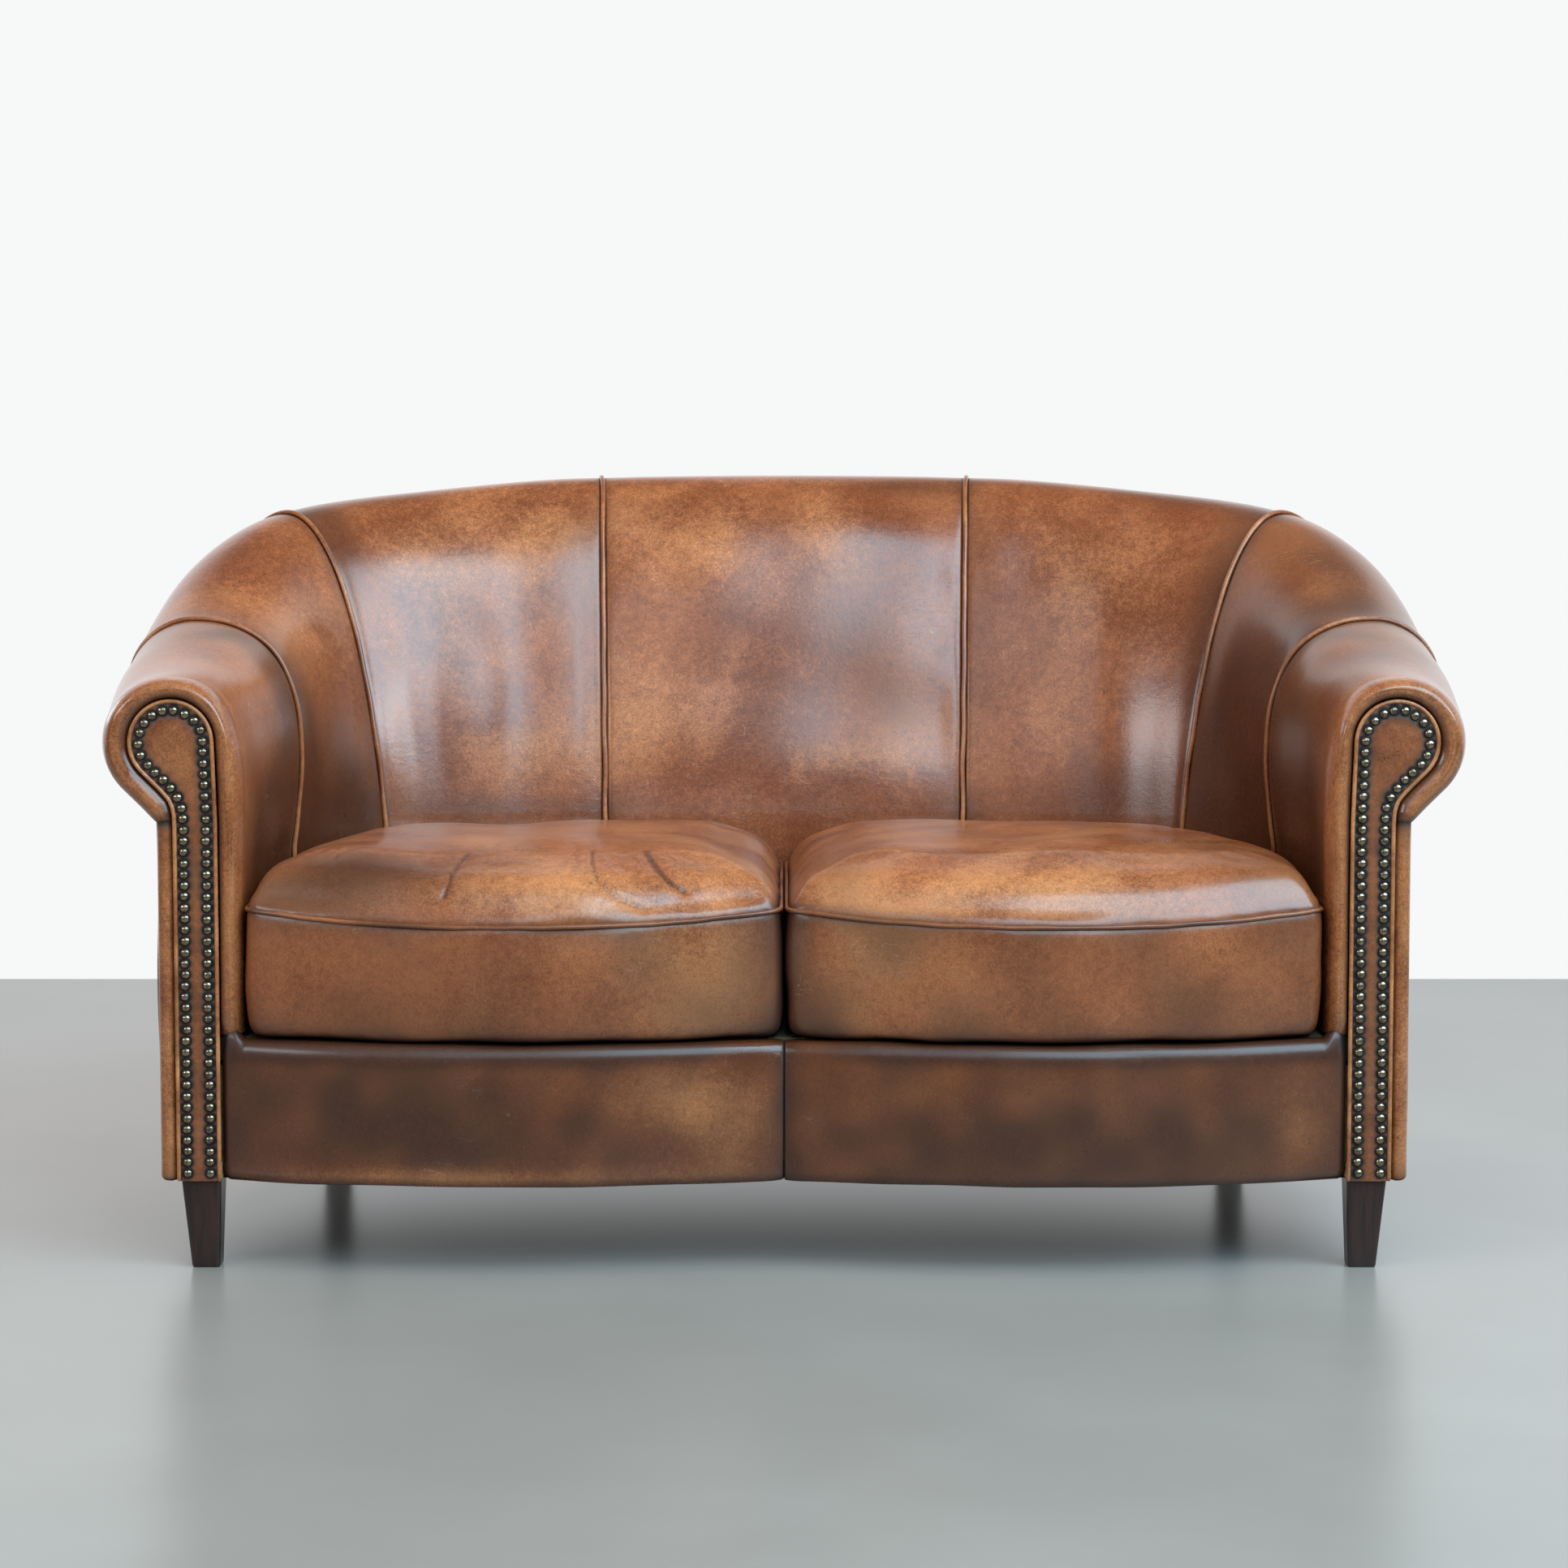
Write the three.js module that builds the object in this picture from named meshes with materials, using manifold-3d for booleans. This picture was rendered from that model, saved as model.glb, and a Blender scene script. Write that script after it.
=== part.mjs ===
// A two-seat tub sofa in worn leather: a rolled ridge runs along the left arm, round the back and down
// the right arm. Hardwood frame, foam padding, leather skins with welted seams, two loose cushions.
// Millimetres, +Z up, front facing -Y. The origin is on the floor, under the middle of the sofa's box.
import * as THREE from 'three';
import { mergeVertices } from 'three/addons/utils/BufferGeometryUtils.js';
import Module from 'manifold-3d';

const wasm = await Module();
wasm.setup();

// ---- driving dimensions ----
const FRONT_Y = -355.5; // plane of the two arm facings
const HALF_WIDTH = 695; // ridge of the arm to the middle of the sofa
const ARM_STRAIGHT = 200; // length of arm before the tub starts to curve
const ARM_FLARE = 13; // how far the arm's front turns in
const TUB_DEPTH = 500; // depth of the curved part of the ridge
const TUB_SQUARENESS = 3.25; // 2 is an ellipse, larger is squarer

// One row for each place along the ridge: run, crest height, then the shape of the inner face
// (reach of the crest, belly, drop of the belly, depth at the seat), seat level and roll radius.
const SECTIONS = [
  [0, 659, 70, 88, 50, 80, 446, 73.5],
  [281, 714, 158, 124, 188, 114, 446, 76],
  [562, 838, 93, 146, 199, 167, 459, 73],
  [739, 863, 88, 140, 195, 170, 457, 71],
  [989, 883, 85, 135, 190, 172, 456, 70],
  [1224, 885.5, 85, 135, 190, 175, 456, 70],
];
const NECK = { reach: 15, drop: 2.2 }; // the roll is tucked in here; drop counts in roll radii
const ROLL_ANGLES = [27, 54, 81, 108, 133]; // degrees round the roll from the crest
const INNER_STEPS = 6; // facets from the seat up to the crest
const PANEL_BOTTOM = 262; // lower edge of the inner panels, just above the deck

// Runs along the left half of the ridge; the seams between the leather panels are among them.
const SEAMS = [281, 562, 989];
const NOSE = [[0, 21], [9, 6.2], [30, 0]]; // run and inset where the arm rounds over to its facing
const RUNS = [110, 200, 281, 340, 400, 455, 510, 562, 610, 660, 725, 795, 890, 989, 1105];

const LEATHER = 2.5;
const GAP = 0.5;
const FOAM_BACK = 28; // the foam's hidden face, measured in from the leather's face
const WELT_RADIUS = 3;
const SEAM_HALF = 3.6; // half the gap between two panels, filled by the welt

const SKIRT_BOTTOM = 98.5; // lowest leather
const OUTER = { offset: 12, thick: 3, corner: 12, returnTo: -5 }; // outer arm and back panels
const RAIL = { near: -34, far: -8, bottom: 118, top: 225 }; // seat rails, across the ridge's normal
const TOP_RAIL = { near: -22, far: 18, under: 100, over: 48 }; // measured down from the crest
const BOARD = { front: 0.5, thick: 16, inset: 33 }; // scroll board in the front of each arm
const FACING = { back: -0.4, front: -6, bottom: 98.5, welt: 2.7, weltY: -3.3, lap: 1.5 };
const FACING_HEAD = { x: -676.3, z: 587.5, radius: 45.5 };
const FACING_SIDES = { outer: -673, inner: -628, neckZ: 497 };

const FRONT_RAIL = { half: 647, front: 17, back: 42 };
const RAIL_COVER = { end: 624.5, top: 256.5, back: 15.5, under: 15, foamBack: 16.5 };
const RAIL_FOAM_HEIGHTS = [250, 240, 225, 180, 130, 112, 104]; // down the foam's hidden face
const DECK = { front: 17.5, offset: -36, bottom: 231, top: 256 };
const SPRING = { places: [-440, -220, 0, 220, 440], wire: 2, sway: 24, pitch: 78, z: 227.5 };
const DUST = { bottom: 98.6, thick: 1.5, front: 16, offset: 7.8 };

const LEG = { top: 98.2, bolt: 4, boltHole: 4.4, boltFrom: 60, boltTo: 116.5 };
const BLOCK = { bottom: 100.4, top: 117.6 };
const FRONT_LEG = { x: [627, 671.5], d: [0, 45], footX: [629.5, 660.5], footD: [1, 31] };
const BACK_LEG = { x: [547.5, 587.5], d: [543.5, 588.5], footX: [551, 582], footD: [556, 587] };
const FRONT_BLOCK = { x: [626, 674], d: [0.5, 66] };
const BACK_BLOCK = { x: [536, 583], d: [541, 588] };

const CUSHION = { bottom: 258.5, clearance: 4.2, middle: [-297, 255], slit: [300, 5] };
// Height and width share of each level of a seat cushion, from its underside to its crown.
const CUSHION_LEVELS = [[0, 0.95], [14, 0.995], [80, 1], [141, 1], [176, 0.965], [204, 0.86], [221, 0.6], [227, 0.3]];

// ---- materials ----
function surface(color, roughness, metalness = 0) {
  return new THREE.MeshStandardMaterial({ color, roughness, metalness });
}
const leather = () => surface(0x8a4a26, 0.42);
const facingLeather = () => surface(0x9a5a2c, 0.45);
const weltLeather = () => surface(0x7a3d22, 0.45);
const legWood = () => surface(0x2a1a15, 0.4);
const frameWood = () => surface(0xb89468, 0.75);
const foam = () => surface(0xe6dcb8, 0.9);
const springSteel = () => surface(0x55585c, 0.4, 0.9);
const boltSteel = () => surface(0xb9bcc0, 0.35, 0.95);
const deckCloth = () => surface(0x6b5a45, 0.95);
const dustCloth = () => surface(0x1d1d1e, 0.95);

// ---- the ridge and its sections ----
class RidgeCurve extends THREE.Curve {
  // Left half of the ridge, seen from above: the flared arm, then a quarter of a superellipse.
  getPoint(t) {
    const armShare = 0.18;
    if (t < armShare) {
      const d = (ARM_STRAIGHT * t) / armShare;
      const flare = (ARM_FLARE * (1 + Math.cos((Math.PI * d) / ARM_STRAIGHT))) / 2;
      return new THREE.Vector3(flare - HALF_WIDTH, d, 0);
    }
    const angle = (((t - armShare) / (1 - armShare)) * Math.PI) / 2;
    const across = Math.abs(Math.cos(angle)) / HALF_WIDTH;
    const along = Math.sin(angle) / TUB_DEPTH;
    const reach = (across ** TUB_SQUARENESS + along ** TUB_SQUARENESS) ** (-1 / TUB_SQUARENESS);
    return new THREE.Vector3(-reach * Math.cos(angle), ARM_STRAIGHT + reach * Math.sin(angle), 0);
  }
}
const ridgeCurve = new RidgeCurve();
ridgeCurve.arcLengthDivisions = 2000;
const HALF_RUN = ridgeCurve.getLength();

// Where a run along the whole ridge lies: its point, the way ahead and the way out.
function ridge(run) {
  const onRight = run > HALF_RUN;
  const share = Math.min((onRight ? 2 * HALF_RUN - run : run) / HALF_RUN, 1);
  const point = ridgeCurve.getPointAt(share);
  const ahead = ridgeCurve.getTangentAt(share);
  if (onRight) {
    point.x = -point.x;
    ahead.y = -ahead.y;
  }
  return { point, ahead, out: new THREE.Vector3(-ahead.y, ahead.x, 0) };
}

// A smooth curve through the section table that never overshoots its rows.
function sectionAt(run) {
  const s = Math.min(run > HALF_RUN ? 2 * HALF_RUN - run : run, HALF_RUN);
  const last = SECTIONS.length - 1;
  let row = 0;
  while (row < last - 1 && SECTIONS[row + 1][0] < s) row += 1;
  const [from, to] = [SECTIONS[row], SECTIONS[row + 1]];
  const span = to[0] - from[0];
  const t = Math.min((s - from[0]) / span, 1);
  const slope = (index, column) => {
    if (index === 0 || index === last) return 0;
    const before = SECTIONS[index][column] - SECTIONS[index - 1][column];
    const after = SECTIONS[index + 1][column] - SECTIONS[index][column];
    if (before * after <= 0) return 0;
    const a = before / (SECTIONS[index][0] - SECTIONS[index - 1][0]);
    const b = after / (SECTIONS[index + 1][0] - SECTIONS[index][0]);
    return (2 * a * b) / (a + b);
  };
  const value = (column) => {
    const rise = to[column] - from[column];
    const a = slope(row, column) * span - rise;
    const b = rise - slope(row + 1, column) * span;
    return from[column] + t * rise + t * (1 - t) * (a * (1 - t) + b * t);
  };
  const [crest, reach, belly, drop, depth, seat, roll] = [1, 2, 3, 4, 5, 6, 7].map(value);
  return { crest, reach, belly, drop, depth, seat, roll };
}

// The leather's face in one section, from the deck up the inner face, over the roll and to the neck.
function faceProfile(run) {
  const { crest, reach, belly, drop, depth, seat, roll } = sectionAt(run);
  const inner = new THREE.CubicBezierCurve(
    new THREE.Vector2(-depth, seat),
    new THREE.Vector2(-belly, crest - drop),
    new THREE.Vector2(-reach, crest),
    new THREE.Vector2(0, crest),
  );
  const over = ROLL_ANGLES.map((degrees) => {
    const angle = THREE.MathUtils.degToRad(degrees);
    return new THREE.Vector2(roll * Math.sin(angle), crest - roll * (1 - Math.cos(angle)));
  });
  const neck = new THREE.Vector2(NECK.reach, crest - NECK.drop * roll);
  return [new THREE.Vector2(-depth, PANEL_BOTTOM), ...inner.getPoints(INNER_STEPS), ...over, neck];
}

// Moves an open line sideways into the body, keeping its straight stretches parallel.
function insetLine(line, distance) {
  const sideways = (a, b) => new THREE.Vector2(b.y - a.y, a.x - b.x).normalize();
  return line.map((point, i) => {
    const before = sideways(line[Math.max(i - 1, 0)], line[Math.max(i, 1)]);
    const after = sideways(line[Math.min(i, line.length - 2)], line[Math.min(i + 1, line.length - 1)]);
    const middle = before.add(after);
    const scale = (2 * distance) / middle.lengthSq();
    return point.clone().addScaledVector(middle, scale);
  });
}

// A station is a run, a small shift along the ridge there, and an inset of the face.
function station(run, shift = 0, inset = 0) {
  return { run, shift, inset };
}

// Puts a section's point (out from the ridge, height) into space.
function place({ run, shift }, out, z) {
  const here = ridge(run);
  const x = here.point.x + here.ahead.x * shift + here.out.x * out;
  const y = here.point.y + here.ahead.y * shift + here.out.y * out;
  return new THREE.Vector3(x, FRONT_Y + y, z);
}

const mirrored = (list) => list.map((s) => station(2 * HALF_RUN - s.run, -s.shift, s.inset)).reverse();

// Stations between two places on the left half, with both ends moved in by a shift.
function between(from, to, shiftIn) {
  const inside = RUNS.filter((run) => run > from + 1 && run < to - 1).map((run) => station(run));
  return [station(from, shiftIn), ...inside, station(to, -shiftIn)];
}

// ---- solids ----
function solid(points, faces) {
  const geometry = new THREE.BufferGeometry();
  geometry.setAttribute('position', new THREE.Float32BufferAttribute(points.flatMap((p) => [p.x, p.y, p.z]), 3));
  let volume = 0;
  for (const [a, b, c] of faces) {
    volume += points[a].dot(new THREE.Vector3().crossVectors(points[b], points[c]));
  }
  const outward = volume > 0 ? faces : faces.map(([a, b, c]) => [a, c, b]);
  geometry.setIndex(outward.flat());
  return geometry;
}

// A wall swept through rows; each row has a face line and a back line with as many points.
function band(rows) {
  const count = rows[0].face.length;
  const points = rows.flatMap((row) => [...row.face, ...row.back]);
  const faces = [];
  const quad = (a, b, c, d) => faces.push([a, b, c], [a, c, d]);
  const faceAt = (k, i) => 2 * count * k + i;
  const backAt = (k, i) => faceAt(k, i) + count;
  for (let k = 0; k + 1 < rows.length; k += 1) {
    for (let i = 0; i + 1 < count; i += 1) {
      quad(faceAt(k, i), faceAt(k, i + 1), faceAt(k + 1, i + 1), faceAt(k + 1, i));
      quad(backAt(k + 1, i + 1), backAt(k, i + 1), backAt(k, i), backAt(k + 1, i));
    }
    quad(faceAt(k, 0), faceAt(k + 1, 0), backAt(k + 1, 0), backAt(k, 0));
    quad(backAt(k, count - 1), backAt(k + 1, count - 1), faceAt(k + 1, count - 1), faceAt(k, count - 1));
  }
  const end = rows.length - 1;
  for (let i = 0; i + 1 < count; i += 1) {
    quad(faceAt(0, i), backAt(0, i), backAt(0, i + 1), faceAt(0, i + 1));
    quad(faceAt(end, i + 1), backAt(end, i + 1), backAt(end, i), faceAt(end, i));
  }
  return solid(points, faces);
}

// A stack of closed rings, each with as many points, closed by a fan at both ends.
function stack(rings) {
  const count = rings[0].length;
  const middle = (ring) => ring.reduce((sum, p) => sum.add(p), new THREE.Vector3()).divideScalar(count);
  const points = [...rings.flat(), middle(rings[0]), middle(rings[rings.length - 1])];
  const faces = [];
  const top = (rings.length - 1) * count;
  for (let i = 0; i < count; i += 1) {
    const next = (i + 1) % count;
    for (let k = 0; k < top; k += count) {
      faces.push([k + i, k + next, k + count + next], [k + i, k + count + next, k + count + i]);
    }
    faces.push([next, i, rings.length * count], [top + i, top + next, rings.length * count + 1]);
  }
  return solid(points, faces);
}

// A flat outline (x, d) with holes, made a plate between two heights.
function plate(outline, holes, bottom, top) {
  const shape = new THREE.Shape(outline);
  shape.holes = holes;
  const settings = { depth: top - bottom, bevelEnabled: false, curveSegments: 6 };
  return new THREE.ExtrudeGeometry(shape, settings).translate(0, FRONT_Y, bottom);
}

function toManifold(geometry) {
  const bare = geometry.clone();
  bare.deleteAttribute('normal');
  bare.deleteAttribute('uv');
  const merged = mergeVertices(bare, 1e-4);
  const vertProperties = new Float32Array(merged.attributes.position.array);
  const triVerts = new Uint32Array(merged.index.array);
  return new wasm.Manifold(new wasm.Mesh({ numProp: 3, vertProperties, triVerts }));
}

function fromManifold(body) {
  const mesh = body.getMesh();
  const geometry = new THREE.BufferGeometry();
  geometry.setAttribute('position', new THREE.BufferAttribute(mesh.vertProperties, 3));
  geometry.setIndex(new THREE.BufferAttribute(mesh.triVerts, 1));
  return geometry;
}

const sofa = new THREE.Group();
function add(name, geometry, material) {
  const mesh = new THREE.Mesh(geometry, material);
  mesh.name = name;
  sofa.add(mesh);
}

// ---- leather panels, foam and seam welts that follow the ridge ----
function skin(stations, faceDepth, backDepth) {
  return band(stations.map((at) => {
    const profile = faceProfile(at.run);
    const line = (depth) => insetLine(profile, depth).map((p) => place(at, p.x, p.y));
    return { face: line(at.inset + faceDepth), back: line(backDepth(at)) };
  }));
}
const leatherSkin = (stations) => skin(stations, 0, (at) => at.inset + LEATHER);
const foamLayer = (stations) => skin(stations, LEATHER + GAP, () => FOAM_BACK);
const noseStations = NOSE.map(([run, inset]) => station(run, 0, inset));
const armStations = (to, shiftIn) => [...noseStations, ...between(NOSE[2][0], to, shiftIn).slice(1)];

function addInnerPanels() {
  const arm = armStations(SEAMS[0], SEAM_HALF);
  const corner = between(SEAMS[0], SEAMS[1], SEAM_HALF);
  const back = between(SEAMS[1], SEAMS[2], SEAM_HALF);
  const centreHalf = between(SEAMS[2], HALF_RUN, SEAM_HALF).slice(0, -1);
  add('arm_panel_left', leatherSkin(arm), leather());
  add('arm_panel_right', leatherSkin(mirrored(arm)), leather());
  add('corner_panel_left', leatherSkin(corner), leather());
  add('corner_panel_right', leatherSkin(mirrored(corner)), leather());
  add('back_panel_left', leatherSkin(back), leather());
  add('back_panel_right', leatherSkin(mirrored(back)), leather());
  add('back_panel_centre', leatherSkin([...centreHalf, ...mirrored(centreHalf)]), leather());
}

// The foam keeps a station at both sides of every seam, so that its facets follow the leather's.
function besideSeams(stations) {
  return stations.flatMap((at) => {
    const onSeam = SEAMS.includes(at.run) && at.shift === 0;
    return onSeam ? [station(at.run, -SEAM_HALF), station(at.run, SEAM_HALF)] : [at];
  });
}

function addPadding() {
  const endGap = GAP / 2;
  const arm = besideSeams([...armStations(SEAMS[1], 0).slice(0, -1)]);
  arm.push(station(SEAMS[1], -SEAM_HALF), station(SEAMS[1], -endGap));
  const halfBack = besideSeams(between(SEAMS[1], HALF_RUN, 0).slice(1, -1));
  halfBack.unshift(station(SEAMS[1], endGap), station(SEAMS[1], SEAM_HALF));
  add('arm_foam_left', foamLayer(arm), foam());
  add('arm_foam_right', foamLayer(mirrored(arm)), foam());
  add('back_foam', foamLayer([...halfBack, ...mirrored(halfBack)]), foam());
}

// A cord of six sides laid along the face's section at a seam.
function weltGeometry(run) {
  const profile = faceProfile(run);
  const lift = WELT_RADIUS - LEATHER;
  const high = insetLine(profile, -lift - WELT_RADIUS * Math.cos(Math.PI / 6));
  const low = insetLine(profile, -lift + WELT_RADIUS * Math.cos(Math.PI / 6));
  const middle = insetLine(profile, -lift);
  const half = WELT_RADIUS / 2;
  return band(profile.map((_, i) => ({
    face: [
      place(station(run, -half), low[i].x, low[i].y),
      place(station(run, -WELT_RADIUS), middle[i].x, middle[i].y),
      place(station(run, -half), high[i].x, high[i].y),
    ],
    back: [
      place(station(run, half), low[i].x, low[i].y),
      place(station(run, WELT_RADIUS), middle[i].x, middle[i].y),
      place(station(run, half), high[i].x, high[i].y),
    ],
  })));
}

function addSeamWelts() {
  const names = ['arm', 'corner', 'back'];
  SEAMS.forEach((run, i) => {
    add(`${names[i]}_welt_left`, weltGeometry(run), weltLeather());
    add(`${names[i]}_welt_right`, weltGeometry(2 * HALF_RUN - run), weltLeather());
  });
}

// ---- outer arm and back panels ----
const neckHeight = (run) => {
  const { crest, roll } = sectionAt(run);
  return crest - NECK.drop * roll - 4.5;
};

function outerRow(x, d, out, run) {
  const top = neckHeight(run);
  const inX = x - out.x * OUTER.thick;
  const inD = d - out.y * OUTER.thick;
  const line = (px, pd) => [SKIRT_BOTTOM, top].map((z) => new THREE.Vector3(px, FRONT_Y + pd, z));
  return { face: line(x, d), back: line(inX, inD) };
}

// The outer arm turns round the front edge and ends beside the facing.
function outerArmRows(to) {
  const side = ridge(0).point.x;
  const front = 0.3;
  const centreX = side - OUTER.offset + OUTER.corner;
  const turned = [90, 45].map((degrees) => {
    const angle = THREE.MathUtils.degToRad(degrees);
    const out = new THREE.Vector3(-Math.cos(angle), -Math.sin(angle), 0);
    return outerRow(centreX + out.x * OUTER.corner, front + OUTER.corner * (1 + out.y), out, 0);
  });
  const start = outerRow(side - OUTER.returnTo, front, new THREE.Vector3(0, -1, 0), 0);
  const along = [station(OUTER.corner + front), station(30), ...between(30, to, GAP / 2).slice(1)];
  return [start, ...turned, ...outerRows(along)];
}

function outerRows(stations) {
  return stations.map((at) => {
    const face = place(at, OUTER.offset, 0);
    return outerRow(face.x, face.y - FRONT_Y, ridge(at.run).out, at.run);
  });
}

function mirrorRows(rows) {
  const flip = (line) => line.map((p) => new THREE.Vector3(-p.x, p.y, p.z));
  return rows.map((row) => ({ face: flip(row.face), back: flip(row.back) })).reverse();
}

function addOuterPanels() {
  const split = SEAMS[1];
  const arm = outerArmRows(split);
  const halfBack = between(split, HALF_RUN, GAP / 2).slice(0, -1);
  add('outer_arm_left', band(arm), leather());
  add('outer_arm_right', band(mirrorRows(arm)), leather());
  add('outer_back', band(outerRows([...halfBack, ...mirrored(halfBack)])), leather());
}

// ---- facings with their welts ----
function facingPath() {
  const path = new THREE.Path();
  const { outer, inner, neckZ } = FACING_SIDES;
  const { x, z, radius } = FACING_HEAD;
  const lowerLeft = THREE.MathUtils.degToRad(225);
  path.moveTo(outer, FACING.bottom);
  path.lineTo(outer, neckZ);
  path.quadraticCurveTo(outer - 1, neckZ + 24, outer - 16, neckZ + 39);
  path.absarc(x, z, radius, lowerLeft, 0, true);
  path.lineTo(inner, neckZ);
  path.lineTo(inner, FACING.bottom);
  return path;
}

// Moves a path's points sideways, in from its left side.
function facingOutline(inset) {
  return insetLine(facingPath().getPoints(5), inset);
}

function facingGeometry() {
  const shape = new THREE.Shape(facingOutline(FACING.lap));
  const depth = FACING.back - FACING.front;
  const panel = new THREE.ExtrudeGeometry(shape, { depth, bevelEnabled: false });
  panel.rotateX(Math.PI / 2).translate(0, FRONT_Y + FACING.back, 0);
  const cordLine = facingOutline(0);
  const cord = cordLine.map((_, i) => {
    const ring = (share, y) => {
      const p = facingOutline(share * FACING.welt)[i];
      return new THREE.Vector3(p.x, FRONT_Y + FACING.weltY + y * FACING.welt, p.y);
    };
    return {
      face: [ring(-0.5, -0.87), ring(-1, 0), ring(-0.5, 0.87)],
      back: [ring(0.5, -0.87), ring(1, 0), ring(0.5, 0.87)],
    };
  });
  return fromManifold(toManifold(panel).add(toManifold(band(cord))));
}

function mirrorX(geometry) {
  const flipped = geometry.clone().scale(-1, 1, 1);
  const index = flipped.index.array;
  for (let i = 0; i < index.length; i += 3) {
    [index[i], index[i + 1]] = [index[i + 1], index[i]];
  }
  return flipped;
}

function addFacings() {
  const facing = facingGeometry();
  add('arm_facing_left', facing, facingLeather());
  add('arm_facing_right', mirrorX(facing), facingLeather());
}

// ---- frame ----
function addFrontBoards() {
  const profile = insetLine(faceProfile(0), BOARD.inset);
  const edge = ridge(0).point.x;
  const last = profile[profile.length - 1];
  const outline = [new THREE.Vector2(profile[0].x, RAIL.bottom), ...profile, new THREE.Vector2(last.x, RAIL.bottom)];
  const shape = new THREE.Shape(outline.map((p) => new THREE.Vector2(edge - p.x, p.y)));
  const board = new THREE.ExtrudeGeometry(shape, { depth: BOARD.thick, bevelEnabled: false });
  board.rotateX(Math.PI / 2).translate(0, FRONT_Y + BOARD.front + BOARD.thick, 0);
  const whole = fromManifold(toManifold(board));
  add('arm_front_board_left', whole, frameWood());
  add('arm_front_board_right', mirrorX(whole), frameWood());
}

function beam(stations, near, far, bottomOf, topOf) {
  return band(stations.map((at) => {
    const line = (out) => [place(at, out, bottomOf(at.run)), place(at, out, topOf(at.run))];
    return { face: line(near), back: line(far) };
  }));
}
const seatRail = (stations) => beam(stations, RAIL.near, RAIL.far, () => RAIL.bottom, () => RAIL.top);
const topRailUnder = (run) => sectionAt(run).crest - TOP_RAIL.under;
const topRailOver = (run) => sectionAt(run).crest - TOP_RAIL.over;
const topRail = (stations) => beam(stations, TOP_RAIL.near, TOP_RAIL.far, topRailUnder, topRailOver);

function addSeatRails() {
  const joint = GAP / 2;
  const [sideEnd, cornerEnd] = [400, 795];
  const side = [station(20), ...between(30, sideEnd, joint).slice(1)];
  const corner = between(sideEnd, cornerEnd, joint);
  const halfBack = between(cornerEnd, HALF_RUN, joint).slice(0, -1);
  add('side_rail_left', seatRail(side), frameWood());
  add('side_rail_right', seatRail(mirrored(side)), frameWood());
  add('corner_rail_left', seatRail(corner), frameWood());
  add('corner_rail_right', seatRail(mirrored(corner)), frameWood());
  add('back_rail', seatRail([...halfBack, ...mirrored(halfBack)]), frameWood());
  const { half, front, back } = FRONT_RAIL;
  const outline = [[-half, front], [half, front], [half, back], [-half, back]].map(([x, d]) => new THREE.Vector2(x, d));
  add('front_rail', plate(outline, [], RAIL.bottom, RAIL.top), frameWood());
}

function addTopRails() {
  const joint = GAP / 2;
  const arm = [station(24), ...between(30, SEAMS[1], joint).slice(1)];
  const halfBack = between(SEAMS[1], HALF_RUN, joint).slice(0, -1);
  add('arm_top_rail_left', topRail(arm), frameWood());
  add('arm_top_rail_right', topRail(mirrored(arm)), frameWood());
  add('back_top_rail', topRail([...halfBack, ...mirrored(halfBack)]), frameWood());
}

function addBackPosts() {
  const post = [station(610), station(660)];
  const foot = () => RAIL.top + GAP;
  const head = (run) => topRailUnder(run) - GAP;
  add('back_post_left', beam(post, RAIL.near, RAIL.far, foot, head), frameWood());
  add('back_post_right', beam(mirrored(post), RAIL.near, RAIL.far, foot, head), frameWood());
}

// ---- legs, blocks and bolts ----
const box = ([x0, x1], [d0, d1], z) => [[x0, d0], [x1, d0], [x1, d1], [x0, d1]]
  .map(([x, d]) => new THREE.Vector3(x, FRONT_Y + d, z));

function legGeometry(leg, bore) {
  const wood = stack([box(leg.footX, leg.footD, 0), box(leg.x, leg.d, LEG.top)]);
  const hole = rod(bore, LEG.boltHole, LEG.boltFrom - 2, LEG.top + 5);
  return fromManifold(toManifold(wood).subtract(toManifold(hole)));
}

function rod([x, d], radius, from, to) {
  const cylinder = new THREE.CylinderGeometry(radius, radius, to - from, 12);
  return cylinder.rotateX(Math.PI / 2).translate(x, FRONT_Y + d, (from + to) / 2);
}

const boreOf = (leg) => [(leg.x[0] + leg.x[1]) / 2, (leg.d[0] + leg.d[1]) / 2];
const LEG_SETS = [['front', FRONT_LEG, FRONT_BLOCK], ['back', BACK_LEG, BACK_BLOCK]];

function addLegs() {
  for (const [end, leg, block] of LEG_SETS) {
    const bore = boreOf(leg);
    const hole = new THREE.Path();
    hole.absarc(bore[0], bore[1], LEG.boltHole, 0, 2 * Math.PI);
    const outline = box(block.x, block.d, 0).map((p) => new THREE.Vector2(p.x, p.y - FRONT_Y));
    const pieces = [
      ['leg', legGeometry(leg, bore), legWood],
      ['corner_block', fromManifold(toManifold(plate(outline, [hole], BLOCK.bottom, BLOCK.top))), frameWood],
      ['leg_bolt', rod(bore, LEG.bolt, LEG.boltFrom, LEG.boltTo), boltSteel],
    ];
    for (const [name, right, material] of pieces) {
      add(`${name}_${end}_left`, mirrorX(right), material());
      add(`${name}_${end}_right`, right, material());
    }
  }
}

// ---- front rail's cover, in two pieces, and the foam behind it ----
// How far the rail's face stands in front of the facings, at a distance from the sofa's middle.
function railSwell(x) {
  const lobe = { at: 300, out: 57, middle: 15 };
  const u = Math.abs(x);
  if (u < lobe.at) return lobe.middle + (lobe.out - lobe.middle) * (1 - (1 - u / lobe.at) ** 1.8);
  return lobe.out * (1 - ((u - lobe.at) / (RAIL_COVER.end - lobe.at)) ** 2.3);
}

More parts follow.
